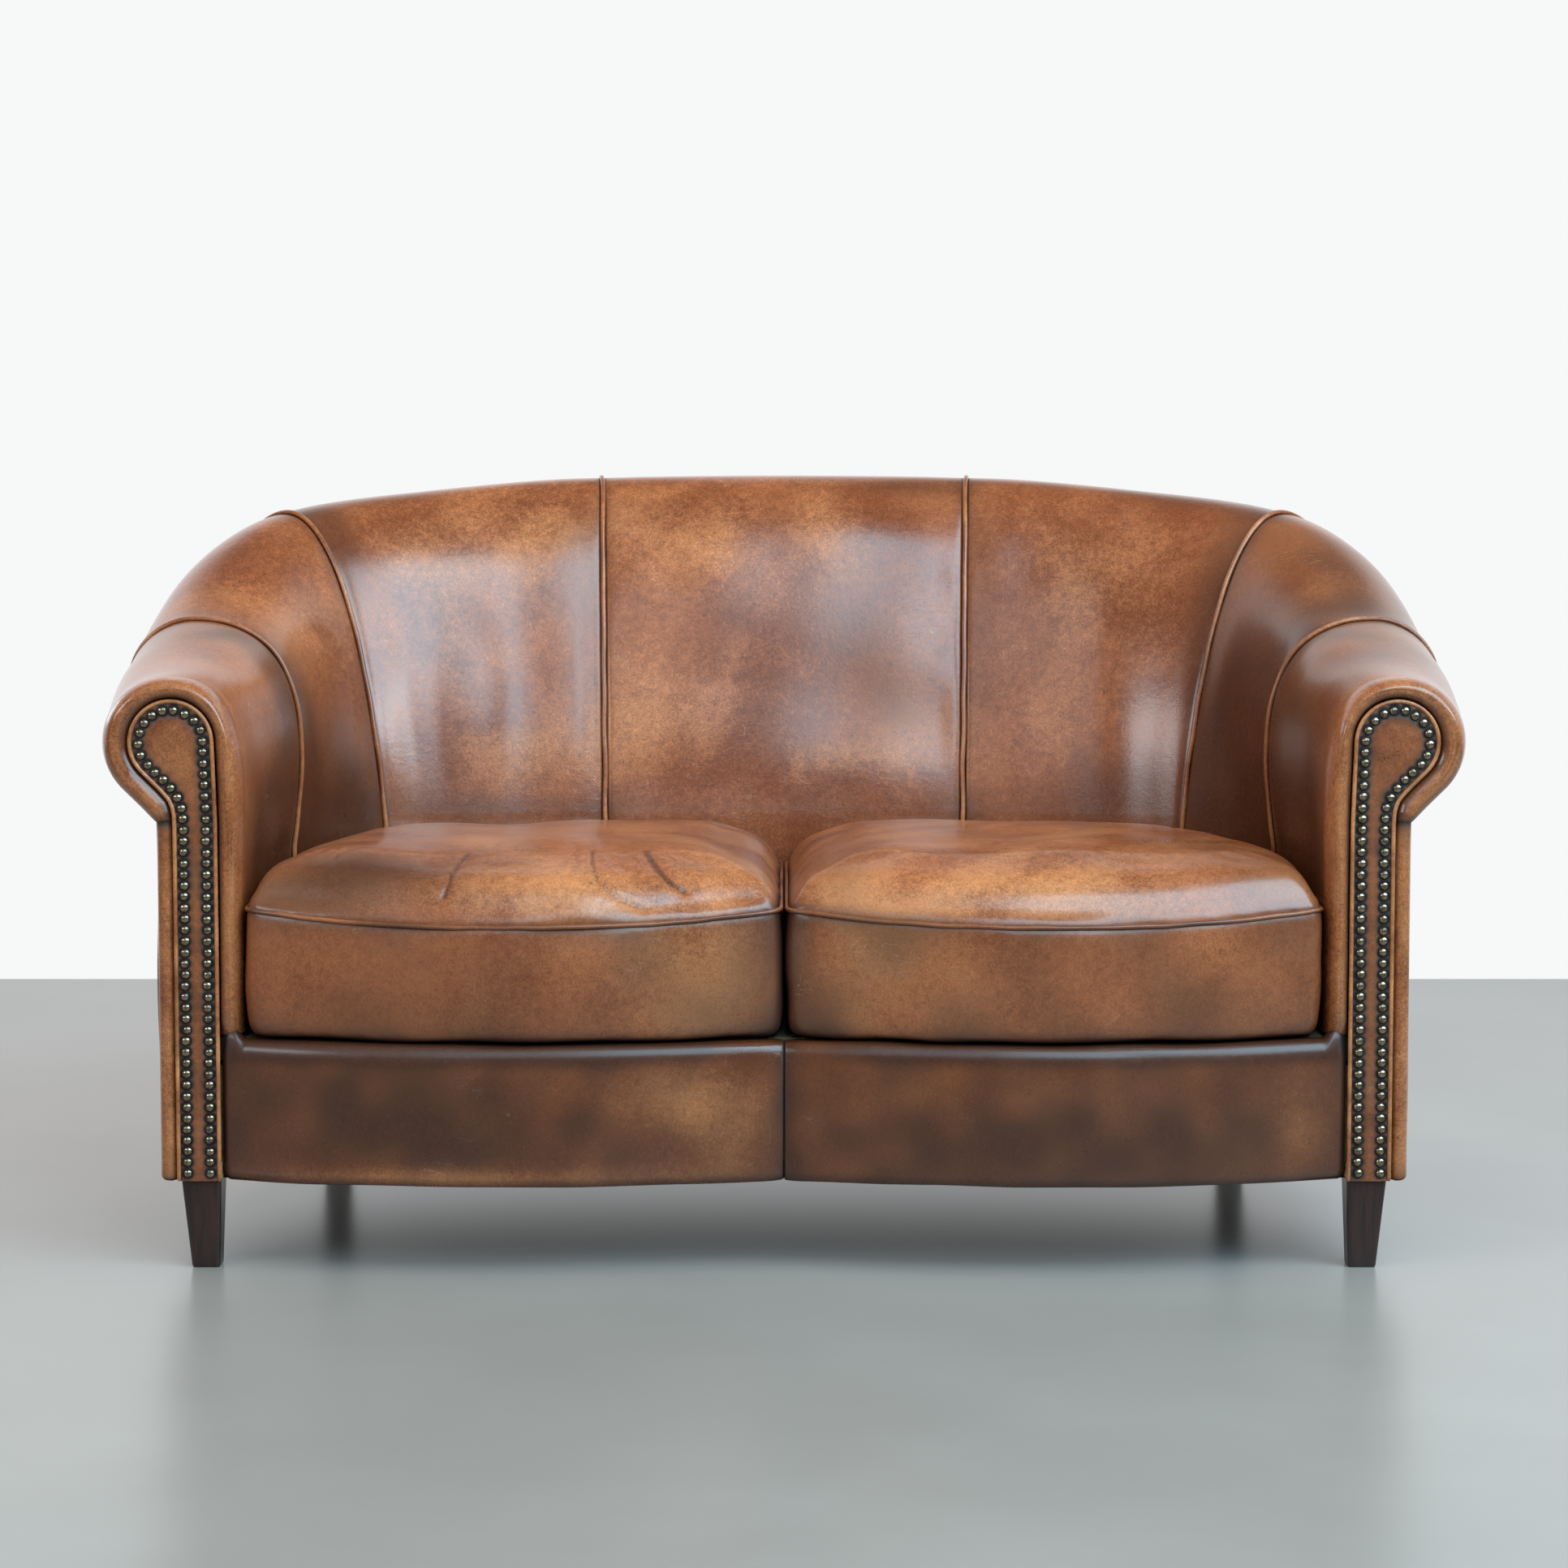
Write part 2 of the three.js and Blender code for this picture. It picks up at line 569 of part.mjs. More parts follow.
// The rail's section, depth and height, from the top's back edge over the front to the underside.
function railProfile(x) {
  const { top, back, under } = RAIL_COVER;
  const front = -railSwell(x);
  const bottom = SKIRT_BOTTOM;
  return [
    [back, top], [front + 12, top], [front + 4, top - 4], [front, top - 18],
    [front - 1, (top + bottom) / 2], [front, bottom + 16], [front + 3, bottom + 5], [front + 10, bottom],
    [under, bottom],
  ].map(([d, z]) => new THREE.Vector2(d, z));
}

const railPoint = (x, p) => new THREE.Vector3(x, FRONT_Y + p.x, p.y);
const railPlaces = [0, 75, 150, 225, 300, 380, 450, 510, 560, 600];

function addRailCover() {
  const cover = (places) => band(places.map((x) => {
    const line = railProfile(x);
    const inset = insetLine(line, -LEATHER);
    return { face: line.map((p) => railPoint(x, p)), back: inset.map((p) => railPoint(x, p)) };
  }));
  const right = [GAP / 2, ...railPlaces.slice(1), RAIL_COVER.end];
  const left = right.map((x) => -x).reverse();
  add('rail_cover_left', cover(left), leather());
  add('rail_cover_right', cover(right), leather());
}

function addRailFoam() {
  const half = [...railPlaces.slice(1), RAIL_COVER.end];
  const places = [...half.map((x) => -x).reverse(), 0, ...half];
  const rows = places.map((x) => {
    const line = insetLine(railProfile(x), -LEATHER - GAP).slice(1, -1);
    const back = RAIL_FOAM_HEIGHTS.map((z) => new THREE.Vector2(RAIL_COVER.foamBack, z));
    return { face: line.map((p) => railPoint(x, p)), back: back.map((p) => railPoint(x, p)) };
  });
  add('rail_foam', band(rows), foam());
}

// ---- seat deck, springs and dust cover ----
function tubOutline(offset, front) {
  const half = [station(30), ...between(30, HALF_RUN, 0).slice(1)];
  const left = half.map((at) => place(at, offset, 0));
  const outline = left.map((p) => new THREE.Vector2(p.x, p.y - FRONT_Y));
  outline.unshift(new THREE.Vector2(outline[0].x, front));
  const right = outline.slice(0, -1).reverse().map((p) => new THREE.Vector2(-p.x, p.y));
  return [...outline, ...right];
}

function addDeck() {
  add('seat_deck', plate(tubOutline(DECK.offset, DECK.front), [], DECK.bottom, DECK.top), deckCloth());
}

function addDustCover() {
  const holes = LEG_SETS.flatMap(([, leg]) => [-1, 1].map((side) => {
    const [x, d] = boreOf(leg);
    return new THREE.Path().absarc(side * x, d, LEG.boltHole + 1, 0, 2 * Math.PI);
  }));
  const outline = tubOutline(DUST.offset, DUST.front);
  add('dust_cover', plate(outline, holes, DUST.bottom, DUST.bottom + DUST.thick), dustCloth());
}

// Where the middle of the back rail lies, at a distance from the sofa's middle.
function backRailDepth(x) {
  const fall = (1 - (Math.abs(x) / HALF_WIDTH) ** TUB_SQUARENESS) ** (1 / TUB_SQUARENESS);
  return ARM_STRAIGHT + TUB_DEPTH * fall + (RAIL.near + RAIL.far) / 2;
}

function springGeometry(x) {
  const from = (FRONT_RAIL.front + FRONT_RAIL.back) / 2;
  const to = backRailDepth(Math.abs(x) + SPRING.sway);
  const turns = Math.round((to - from) / SPRING.pitch);
  const steps = turns * 4;
  const points = Array.from({ length: steps + 1 }, (_, i) => {
    const sway = SPRING.sway * Math.sin((i * Math.PI) / 2 + Math.PI / 4) * Math.SQRT2 * 0.7;
    return new THREE.Vector3(x + sway, FRONT_Y + from + ((to - from) * i) / steps, SPRING.z);
  });
  const path = new THREE.CatmullRomCurve3(points);
  const wire = new THREE.Shape().absarc(0, 0, SPRING.wire, 0, 2 * Math.PI);
  return new THREE.ExtrudeGeometry(wire, { steps, extrudePath: path, curveSegments: 2, bevelEnabled: false });
}

function addSprings() {
  SPRING.places.forEach((x, i) => add(`seat_spring_${i + 1}`, springGeometry(x), springSteel()));
}

// ---- loose seat cushions ----
// The front edge bows forward; the sides and back follow the tub's inner face.
function cushionOutline() {
  const wall = [station(0), ...between(30, HALF_RUN, 0)].map((at) => {
    const reach = -sectionAt(at.run).depth - CUSHION.clearance;
    return place(at, reach, 0);
  }).map((p) => new THREE.Vector2(Math.min(p.x, -3), p.y - FRONT_Y));
  const bow = (x) => -50 * Math.sin((Math.PI * (-x - 3)) / 592) ** 0.8 - 2;
  const front = [-80, -160, -240, -320, -400, -480, -545].map((x) => new THREE.Vector2(x, bow(x)));
  return [...wall, new THREE.Vector2(-3, 270), new THREE.Vector2(-3, 5), ...front];
}

function cushionShell(outline, shrink) {
  const [middleX, middleD] = CUSHION.middle;
  const top = CUSHION_LEVELS[CUSHION_LEVELS.length - 1][0];
  const rings = CUSHION_LEVELS.map(([height, share]) => {
    const scale = share * (1 - shrink / middleD);
    const z = CUSHION.bottom + shrink + (height * (top - 2 * shrink)) / top;
    return outline.map((p) => new THREE.Vector3(
      middleX + (p.x - middleX) * scale,
      FRONT_Y + middleD + (p.y - middleD) * scale,
      z,
    ));
  });
  return stack(rings);
}

function addCushions() {
  const outline = cushionOutline();
  const leatherThick = 2;
  const [slitLength, slitHeight] = CUSHION.slit;
  const slit = new THREE.BoxGeometry(slitLength, 60, slitHeight);
  slit.translate(CUSHION.middle[0] + 60, FRONT_Y + 522, CUSHION.bottom + 60);
  const shell = toManifold(cushionShell(outline, 0)).subtract(toManifold(cushionShell(outline, leatherThick)));
  const cover = fromManifold(shell.subtract(toManifold(slit)));
  const core = cushionShell(outline, leatherThick + 1);
  add('cushion_cover_left', cover, leather());
  add('cushion_cover_right', mirrorX(cover), leather());
  add('cushion_foam_left', core, foam());
  add('cushion_foam_right', mirrorX(core), foam());
}

addLegs();
addSeatRails();
addFrontBoards();
addTopRails();
addBackPosts();
addSprings();
addDeck();
addDustCover();
addPadding();
addInnerPanels();
addSeamWelts();
addOuterPanels();
addRailFoam();
addRailCover();
addFacings();
addCushions();

export default sofa;
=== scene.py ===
import math

import bpy
import numpy as np
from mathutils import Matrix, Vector


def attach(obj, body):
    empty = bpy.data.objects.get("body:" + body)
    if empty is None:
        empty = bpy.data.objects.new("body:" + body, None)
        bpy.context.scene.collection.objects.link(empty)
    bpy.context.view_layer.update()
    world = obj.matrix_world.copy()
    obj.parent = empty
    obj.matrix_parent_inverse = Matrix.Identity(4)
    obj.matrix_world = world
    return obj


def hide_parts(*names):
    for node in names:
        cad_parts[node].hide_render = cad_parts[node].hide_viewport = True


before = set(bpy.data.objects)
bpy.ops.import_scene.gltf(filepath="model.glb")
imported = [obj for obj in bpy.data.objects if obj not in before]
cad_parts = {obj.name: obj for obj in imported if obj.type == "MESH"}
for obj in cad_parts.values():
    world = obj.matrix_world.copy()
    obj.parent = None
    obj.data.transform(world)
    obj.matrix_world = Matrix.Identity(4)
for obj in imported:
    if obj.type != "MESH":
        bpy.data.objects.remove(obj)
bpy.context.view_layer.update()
print("frame:", len(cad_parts), "nodes")

# A worn leather tub sofa. Everything is in metres; "run" is the distance along the ridge from the
# front of the left arm, "out" the distance outwards from it, and d the depth behind the arm facings.
frontY = -0.3555

# ---- camera, room and lights ----
shot = {"height": 0.85044, "distance": 3.93, "tilt": 4.4963, "lens": 81.99, "film": 36}
room = {"floorTo": 2.07, "floorHalf": 9, "floorShade": 0.24, "floorRough": 0.30, "floorShine": 0.35,
        "wall": 0.93, "backGlow": 1.2, "glow": 0.17,
        "glowFade": (0.45, 0.85), "lampAim": (0, 0.15, 0.65)}
lamps = {
    # name: (azimuth from the front, elevation, distance) from the middle of the back, (width, height),
    # watts, colour, seen in gloss
    "ceiling": ((0, 66, 2.9), (4.2, 3.0), 96, (1.0, 0.92, 0.82), False),
    "windowFront": ((13.8, 32, 5.0), (1.0, 3.1), 76, (0.50, 0.80, 1.0), True),
    "windowMiddle": ((3.9, 31, 5.0), (0.65, 2.9), 22, (0.55, 0.82, 1.0), True),
    "windowRight": ((50, 34, 4.5), (3.45, 3.0), 262, (0.50, 0.80, 1.0), True),
    "paneMiddle": ((-14, 24, 4.8), (1.1, 2.4), 14, (0.55, 0.82, 1.0), True),
    "paneRight": ((68, 17, 4.0), (0.9, 0.42), 14, (0.88, 0.95, 1.0), True),
    "paneLeft": ((-50, 16, 4.0), (1.6, 0.75), 34, (0.86, 0.94, 1.0), True),
    "paneBehind": ((-118, 12, 3.6), (1.6, 0.9), 14, (0.75, 0.88, 1.0), True),
}


def place(name, data):
    made = bpy.data.objects.new(name, data)
    bpy.context.collection.objects.link(made)
    return made


def addCamera():
    made = bpy.data.cameras.new("camera")
    made.lens, made.sensor_width = shot["lens"], shot["film"]
    holder = place("camera", made)
    holder.location = (0, frontY - shot["distance"], shot["height"])
    holder.rotation_euler = (math.radians(90 - shot["tilt"]), 0, 0)
    bpy.context.scene.camera = holder


def addLamps():
    for name, ((azimuth, elevation, far), size, watts, tint, inGloss) in lamps.items():
        light = bpy.data.lights.new(name, "AREA")
        light.shape, light.size, light.size_y = "RECTANGLE", *size
        light.energy, light.color = watts, tint
        holder = place(name, light)
        turn, rise = math.radians(azimuth), math.radians(elevation)
        way = Vector((math.sin(turn) * math.cos(rise), -math.cos(turn) * math.cos(rise), math.sin(rise)))
        holder.location = Vector(room["lampAim"]) + way * far
        holder.rotation_euler = (-way).to_track_quat("-Z", "Y").to_euler()
        holder.visible_glossy = inGloss


addCamera()
addLamps()


# ---- materials ----
def tone(red, green, blue):
    # A colour as it is seen on a screen, 0 to 255, made linear.
    part = lambda v: v / 12.92 if v <= 0.04045 else ((v + 0.055) / 1.055) ** 2.4
    return (part(red / 255), part(green / 255), part(blue / 255), 1)


class Wire:
    # One socket. Sums and products of wires and numbers add Math nodes.
    def __init__(self, finish, socket):
        self.finish, self.socket = finish, socket

    def __add__(self, other): return self.finish.math("ADD", self, other)
    def __radd__(self, other): return self.finish.math("ADD", other, self)
    def __sub__(self, other): return self.finish.math("SUBTRACT", self, other)
    def __rsub__(self, other): return self.finish.math("SUBTRACT", other, self)
    def __mul__(self, other): return self.finish.math("MULTIPLY", self, other)
    def __abs__(self): return self.finish.math("ABSOLUTE", self)


class NodeDesk:
    # Adds nodes to one tree.
    def __init__(self, tree):
        self.tree = tree

    def node(self, kind, settings=None, inputs=None, out=0):
        made = self.tree.nodes.new(kind)
        for key, value in (settings or {}).items():
            setattr(made, key, value)
        for key, value in (inputs or {}).items():
            if isinstance(value, Wire):
                self.tree.links.new(value.socket, made.inputs[key])
            else:
                made.inputs[key].default_value = value
        return Wire(self, made.outputs[out])

    def math(self, operation, first, second=0.0):
        return self.node("ShaderNodeMath", {"operation": operation}, {0: first, 1: second})

    def smooth(self, value, low, high):
        settings = {"interpolation_type": "SMOOTHSTEP"}
        return self.node("ShaderNodeMapRange", settings, {"Value": value, "From Min": low, "From Max": high})


class Finish(NodeDesk):
    # A material in the making, with its shader's constants set first.
    def __init__(self, name, **constants):
        self.material = bpy.data.materials.new(name)
        self.material.use_nodes = True
        super().__init__(self.material.node_tree)
        self.shader = self.tree.nodes["Principled BSDF"]
        for socket, value in constants.items():
            self.shader.inputs[socket.replace("_", " ")].default_value = value
        self.place = self.node("ShaderNodeTexCoord", out="Object")

    def mix(self, share, first, second, blend="MIX"):
        settings = {"data_type": "RGBA", "blend_type": blend}
        return self.node("ShaderNodeMix", settings, {0: share, 6: first, 7: second}, out=2)

    def noise(self, scale, detail=4, rough=0.6, bend=0.0, where=None):
        inputs = {"Vector": where or self.place, "Scale": scale, "Detail": detail, "Roughness": rough,
                  "Distortion": bend}
        return self.node("ShaderNodeTexNoise", None, inputs)

    def stretched(self, scale, turn=(0, 0, 0)):
        inputs = {"Vector": self.place, "Scale": scale, "Rotation": turn}
        return self.node("ShaderNodeMapping", None, inputs)

    def mask(self, name):
        return self.node("ShaderNodeAttribute", {"attribute_name": name}, out="Fac")

    def bump(self, height, strength, distance, under=None):
        inputs = {"Height": height, "Strength": strength, "Distance": distance}
        if under:
            inputs["Normal"] = under
        return self.node("ShaderNodeBump", None, inputs)

    def drive(self, **sockets):
        for socket, wire in sockets.items():
            self.tree.links.new(wire.socket, self.shader.inputs[socket.replace("_", " ")])
        return self.material


# burnt is the brown that burnished leather and painted shade darken to; soot the near black that dirt and
# painted shade darken to
hide = {
    "deep": tone(112, 57, 29), "middle": tone(154, 88, 50), "tan": tone(190, 124, 76),
    "burnt": tone(54, 27, 15), "sootAndShade": tone(15, 8, 5), "scratch": tone(222, 172, 126),
    "rough": 0.24, "coat": 0.30, "coatRough": 0.19,
}


def leather(name, rough=0.0, grain=1.0):
    # Clouds of a light and a deep brown; masks on the mesh darken it with burnish and painted shade, lighten it
    # with rubbing and painted light, and blacken it with dirt and painted shade.
    f = Finish(name, Coat_Roughness=hide["coatRough"], Specular_IOR_Level=0.5)
    cloud, smudge = f.noise(3.2, 3, 0.5, 0.3), f.noise(11, 4, 0.55, 0.4)
    fleck, speck = f.noise(110, 4, 0.7), f.noise(430, 2, 0.7)
    burnishAndShade, rubAndLight, dirtAndShade, crumple = (f.mask(key) for key in ("burnishAndShade", "rubAndLight", "dirtAndShade", "crumple"))
    dust = (fleck - 0.5) * 0.6 + (speck - 0.5) * 0.6
    depth = f.smooth((cloud - 0.5) * 0.9 + (smudge - 0.5) * 0.7 + dust * 0.4, -0.26, 0.26)
    body = f.mix(depth, hide["deep"], hide["middle"])
    # lighter tan where the leather is rubbed and where light is painted on, then darker towards the burnt brown
    # where it is burnished and where shade is painted on
    body = f.mix(f.smooth(rubAndLight + (smudge - 0.5) * 0.6 + dust * 0.6, 0.1, 1.1), body, hide["tan"])
    shade = f.smooth(burnishAndShade + (smudge - 0.5) * 0.6 + (cloud - 0.5) * 0.4 + dust * 0.6, 0.05, 1.25)
    body = f.mix(shade * 0.92, body, hide["burnt"])
    # creases: a web of fine lines where a bent noise crosses its middle value, inside the crumple mask, and the
    # strokes whose nearness is stored on the mesh, darkened partly for the leather's own cracked colour, partly
    # as painted shade
    fine = 1 - f.smooth(abs(f.noise(38, 3, 0.5, 0.6) - 0.5), 0.0, 0.03)
    stroke = f.smooth(f.mask("stroke") + (fleck - 0.5) * 0.5 + (smudge - 0.5) * 0.5, 0.60, 1.08)
    crease = f.smooth(crumple, 0.15, 0.8) * fine * 0.4 + stroke
    body = f.mix(f.smooth(crease, 0.0, 1.1) * 0.74, body, hide["burnt"])
    # scratches: short light hairs, two headings
    hairs = [f.noise(1, 1, 0.4, 0.2, f.stretched(size, turn)) for size, turn in (
        ((30, 30, 260), (0.5, 0.9, 0.2)), ((24, 210, 30), (0.3, -0.6, 0.8)))]
    scratch = sum((1 - f.smooth(abs(h - 0.5), 0.0, 0.005) for h in hairs), 0)
    scratch = scratch * f.smooth(f.noise(9, 2), 0.56, 0.72)
    body = f.mix(f.smooth(scratch, 0.0, 1.0) * 0.28, body, hide["scratch"])
    # near black where dirt lies and where shade is painted into seams, grooves, hems and gaps
    body = f.mix(f.smooth(dirtAndShade + (smudge - 0.5) * 0.4 + dust * 0.4, 0.25, 0.95), body, hide["sootAndShade"])
    body = f.mix(1.0, body, (fleck - 0.5) * 0.7 + (speck - 0.5) * 1.1 + 0.97, "MULTIPLY")
    gloss = ((smudge - 0.5) * 0.16 + (cloud - 0.5) * 0.10 + dust * 0.12 + shade * 0.04 + dirtAndShade * 0.5
             + (hide["rough"] + rough))
    pores = f.node("ShaderNodeTexVoronoi", {"feature": "F1"}, {"Vector": f.place, "Scale": 520}, out="Distance")
    peel, wrinkle = f.noise(170, 2, 0.5), f.noise(48, 3, 0.55, 0.5)
    height = pores * 0.08 * grain + peel * 0.20 * grain + wrinkle * 0.32 - crease * 1.2 - scratch * 0.2
    coat = (1 - f.smooth(dirtAndShade + crease * 0.6, 0.0, 0.8)) * hide["coat"]
    return f.drive(Base_Color=body, Roughness=gloss, Coat_Weight=coat, Normal=f.bump(height, 0.55, 0.0010))


def nailMetal():
    f = Finish("nailMetal", Specular_IOR_Level=0.5)
    tarnish = f.noise(180, 4, 0.6)
    body = f.mix(f.smooth(tarnish, 0.42, 0.68), tone(156, 140, 116), tone(84, 72, 60))
    return f.drive(Base_Color=body, Metallic=1 - f.smooth(tarnish, 0.55, 0.75) * 0.4,
                   Roughness=f.smooth(tarnish, 0.3, 0.8) * 0.16 + 0.2, Normal=f.bump(tarnish, 0.2, 0.0004))


def wood(name, dark, pale, rough, coat, grain):
    # Rings of grain drawn out along the height, with finer pores in them.
    f = Finish(name, Coat_Weight=coat, Coat_Roughness=0.2)
    streak = f.noise(1, 5, 0.6, 0.3, f.stretched(grain))
    fine = f.noise(1, 3, 0.6, 0.0, f.stretched(tuple(4 * g for g in grain)))
    body = f.mix(f.smooth(streak * 0.7 + fine * 0.3, 0.35, 0.65), dark, pale)
    return f.drive(Base_Color=body, Roughness=(fine - 0.5) * 0.2 + rough, Normal=f.bump(fine, 0.25, 0.0004))


def cloth(name, dark, pale, thread, rough=0.9):
    # Plain weave: two crossed sets of threads.
    f = Finish(name)
    warp, weft = (f.node("ShaderNodeTexWave", {"bands_direction": way}, {"Vector": f.place, "Scale": thread})
                  for way in "XY")
    weave = warp * 0.5 + weft * 0.5
    body = f.mix(f.smooth(weave + (f.noise(40) - 0.5) * 0.6, 0.2, 0.9), dark, pale)
    return f.drive(Base_Color=body, Roughness=(weave - 0.5) * 0.1 + rough, Normal=f.bump(weave, 0.5, 0.0005))


def foam():
    f = Finish("foam")
    cells = f.node("ShaderNodeTexVoronoi", None, {"Vector": f.place, "Scale": 400}, out="Distance")
    body = f.mix(f.smooth(cells, 0.1, 0.7), tone(196, 178, 130), tone(228, 214, 172))
    return f.drive(Base_Color=body, Roughness=cells * 0.1 + 0.85, Normal=f.bump(cells, 0.6, 0.001))


def steel(name, shade, rough):
    f = Finish(name, Metallic=1.0)
    stain = f.noise(60, 4)
    body = f.mix(f.smooth(stain, 0.4, 0.7), tone(*(shade,) * 3), tone(shade * 0.75, shade * 0.7, shade * 0.62))
    return f.drive(Base_Color=body, Roughness=(stain - 0.5) * 0.3 + rough, Normal=f.bump(stain, 0.1, 0.0003))


looks = {
    "tub": leather("tubLeather"),
    "seat": leather("seatLeather", 0.07),
    "facing": leather("facingLeather", 0.06),
    "piping": leather("pipingLeather", 0.08, 0.5),
    "nail": nailMetal(),
    "leg": wood("legWood", tone(26, 12, 9), tone(50, 24, 17), 0.3, 0.35, (90, 90, 7)),
    "frame": wood("frameWood", tone(160, 122, 78), tone(205, 170, 120), 0.7, 0.0, (60, 60, 60)),
    "foam": foam(),
    "spring": steel("springSteel", 110, 0.4),
    "bolt": steel("boltSteel", 185, 0.32),
    "deck": cloth("deckCloth", tone(84, 70, 52), tone(124, 106, 82), 260),
    "dust": cloth("dustCloth", tone(18, 18, 19), tone(40, 40, 42), 300),
}
print("materials:", len(looks))


# ---- floor and wall ----
def addRoom():
    # The floor ends where the wall starts; the wall is the plain pale world behind it.
    f = Finish("floor", Roughness=room["floorRough"], Specular_IOR_Level=room["floorShine"])
    shade = room["floorShade"]
    drift = f.smooth(f.noise(1.3, 5, 0.6), 0.3, 0.7)
    body = f.mix(drift, (shade * 0.94, shade * 0.87, shade * 0.79, 1),
                 (shade * 1.07, shade * 1.00, shade * 0.91, 1))
    f.drive(Base_Color=body)
    half, end = room["floorHalf"], room["floorTo"]
    corners = [(-half, -half, 0), (half, -half, 0), (half, end, 0), (-half, end, 0)]
    mesh = bpy.data.meshes.new("floor")
    mesh.from_pydata(corners, [], [(0, 1, 2, 3)])
    mesh.materials.append(f.material)
    floor = place("floor", mesh)
    world = bpy.data.worlds.new("room")
    world.use_nodes = True
    bpy.context.scene.world = world
    desk = NodeDesk(world.node_tree)
    way = desk.node("ShaderNodeTexCoord", out="Generated")
    behind, height = (desk.node("ShaderNodeSeparateXYZ", None, {0: way}, out=axis) for axis in "YZ")
    # the white wall behind glows up to head height; the rest of the room is dimmer
    bright = desk.smooth(behind, -0.1, 0.4) * (1 - desk.smooth(height, *room["glowFade"]))
    glow = bright * (room["backGlow"] - room["glow"]) + room["glow"]
    sky = desk.node("ShaderNodeBackground", None, {"Color": (0.97, 0.985, 1.0, 1), "Strength": glow})
    wall = (room["wall"], room["wall"] * 1.008, room["wall"] * 1.01, 1)
    seen = desk.node("ShaderNodeBackground", None, {"Color": wall})
    direct = desk.node("ShaderNodeLightPath", out="Is Camera Ray")
    mixed = desk.node("ShaderNodeMixShader", None, {0: direct, 1: sky, 2: seen})
    desk.tree.links.new(mixed.socket, desk.tree.nodes["World Output"].inputs["Surface"])
    bpy.context.scene.view_settings.view_transform = "Standard"


addRoom()


# ---- mesh helpers ----
def table(*columns):
    # Values side by side, each spread to the same shape.
    return np.stack(np.broadcast_arrays(*columns), axis=-1)


def patch(index):
    # Quads between neighbouring rows and columns of a table of point numbers.
    return table(index[:-1, :-1], index[:-1, 1:], index[1:, 1:], index[1:, :-1]).reshape(-1, 4)


def storeMasks(mesh, masks):
    for key, values in masks.items():
        layer = mesh.attributes.new(key, "FLOAT", "POINT")
        layer.data.foreach_set("value", np.asarray(values, np.float32).ravel())


def addMesh(name, points, quads, finish, masks=None, sharp=50):
    # Faces with a corner written twice are triangles. The whole is turned out if its volume is negative.
    points, quads = np.asarray(points, float), np.asarray(quads)
    a, b, c, d = (points[quads[:, i]] for i in range(4))
    if np.einsum("ij,ij->", a, np.cross(b, c) + np.cross(c, d)) < 0:
        quads = quads[:, ::-1]
    mesh = bpy.data.meshes.new(name)
    mesh.vertices.add(len(points))
    mesh.vertices.foreach_set("co", points.astype(np.float32).ravel())
    keep = quads != np.roll(quads, 1, axis=1)
    sizes = keep.sum(axis=1)
    mesh.loops.add(int(sizes.sum()))
    mesh.loops.foreach_set("vertex_index", quads[keep].astype(np.int32))
    mesh.polygons.add(len(quads))
    mesh.polygons.foreach_set("loop_start", np.r_[0, np.cumsum(sizes)[:-1]].astype(np.int32))
    mesh.polygons.foreach_set("use_smooth", np.ones(len(quads), bool))
    mesh.update(calc_edges=True)
    mesh.set_sharp_from_angle(angle=math.radians(sharp))
    storeMasks(mesh, masks or {})
    mesh.materials.append(looks[finish])
    return place(name, mesh)


def shell(face, back):
    # A wall between two tables of points of one size, closed all round its rim.
    rows, cols = face.shape[:2]
    index, count = np.arange(rows * cols).reshape(rows, cols), rows * cols
    rim = np.concatenate([index[0], index[1:, -1], index[-1, -2::-1], index[-2:0:-1, 0]])
    ahead = np.roll(rim, -1)
    quads = [patch(index), patch(index[::-1] + count), table(ahead, rim, rim + count, ahead + count)]
    return np.concatenate([face.reshape(-1, 3), back.reshape(-1, 3)]), np.concatenate(quads)


def loft(rings):
    # A tube of rings, each closed, with a fan to the middle point at both ends.
    rows, count = rings.shape[:2]
    index = np.arange(rows * count).reshape(rows, count)
    index = np.concatenate([index, index[:, :1]], axis=1)
    first, last = rows * count, rows * count + 1
    start, end = index[0], index[-1]
    fans = [table(start[1:], start[:-1], first, first),
            table(end[:-1], end[1:], last, last)]
    points = np.concatenate([rings.reshape(-1, 3), [rings[0].mean(0)], [rings[-1].mean(0)]])
    return points, np.concatenate([patch(index), *fans])


def settle(piece, nodes):
    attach(piece, "root")
    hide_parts(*nodes)
    return piece


def ease(value, low, high):
    share = np.clip((value - low) / (high - low), 0, 1)
    return share * share * (3 - 2 * share)


def ripple(a, b, size, seed):
    # A soft random field over two lengths: ten sine waves of about one size, each with its own heading
    # and phase.
    draw = np.random.default_rng(seed)
    total = 0
    for heading, stretch, phase in draw.uniform((0, 0.7, 0), (np.pi, 1.5, 2 * np.pi), (10, 3)):
        turns = (a * np.cos(heading) + b * np.sin(heading)) * 2 * np.pi / (size * stretch)
        total = total + np.sin(turns + phase)
    return total / 3.2


def patches(a, b, size, seed):
    # The same field from about 0 to 1.
    return 0.5 + 0.5 * ripple(a, b, size, seed)


def bell(away, width):
    return np.exp(-(away / width) ** 2)


def fading(away, width):
    return np.exp(-away / width)


def spots(a, b, rows):
    # Sum of soft round blots: place, place, radius, radius, strength.
    return sum((strength * np.exp(-((a - atA) / wideA) ** 2 - ((b - atB) / wideB) ** 2)
                for atA, atB, wideA, wideB, strength in rows), 0 * a)


def turned(points, side):
    # Everything is worked out on the left and mirrored for the right.
    return points * np.array([-1 if side == "right" else 1, 1, 1])


def lengths(line):
    # The distance along a line to each of its points.
    return np.r_[0, np.cumsum(np.hypot(*np.diff(line, axis=0).T))]


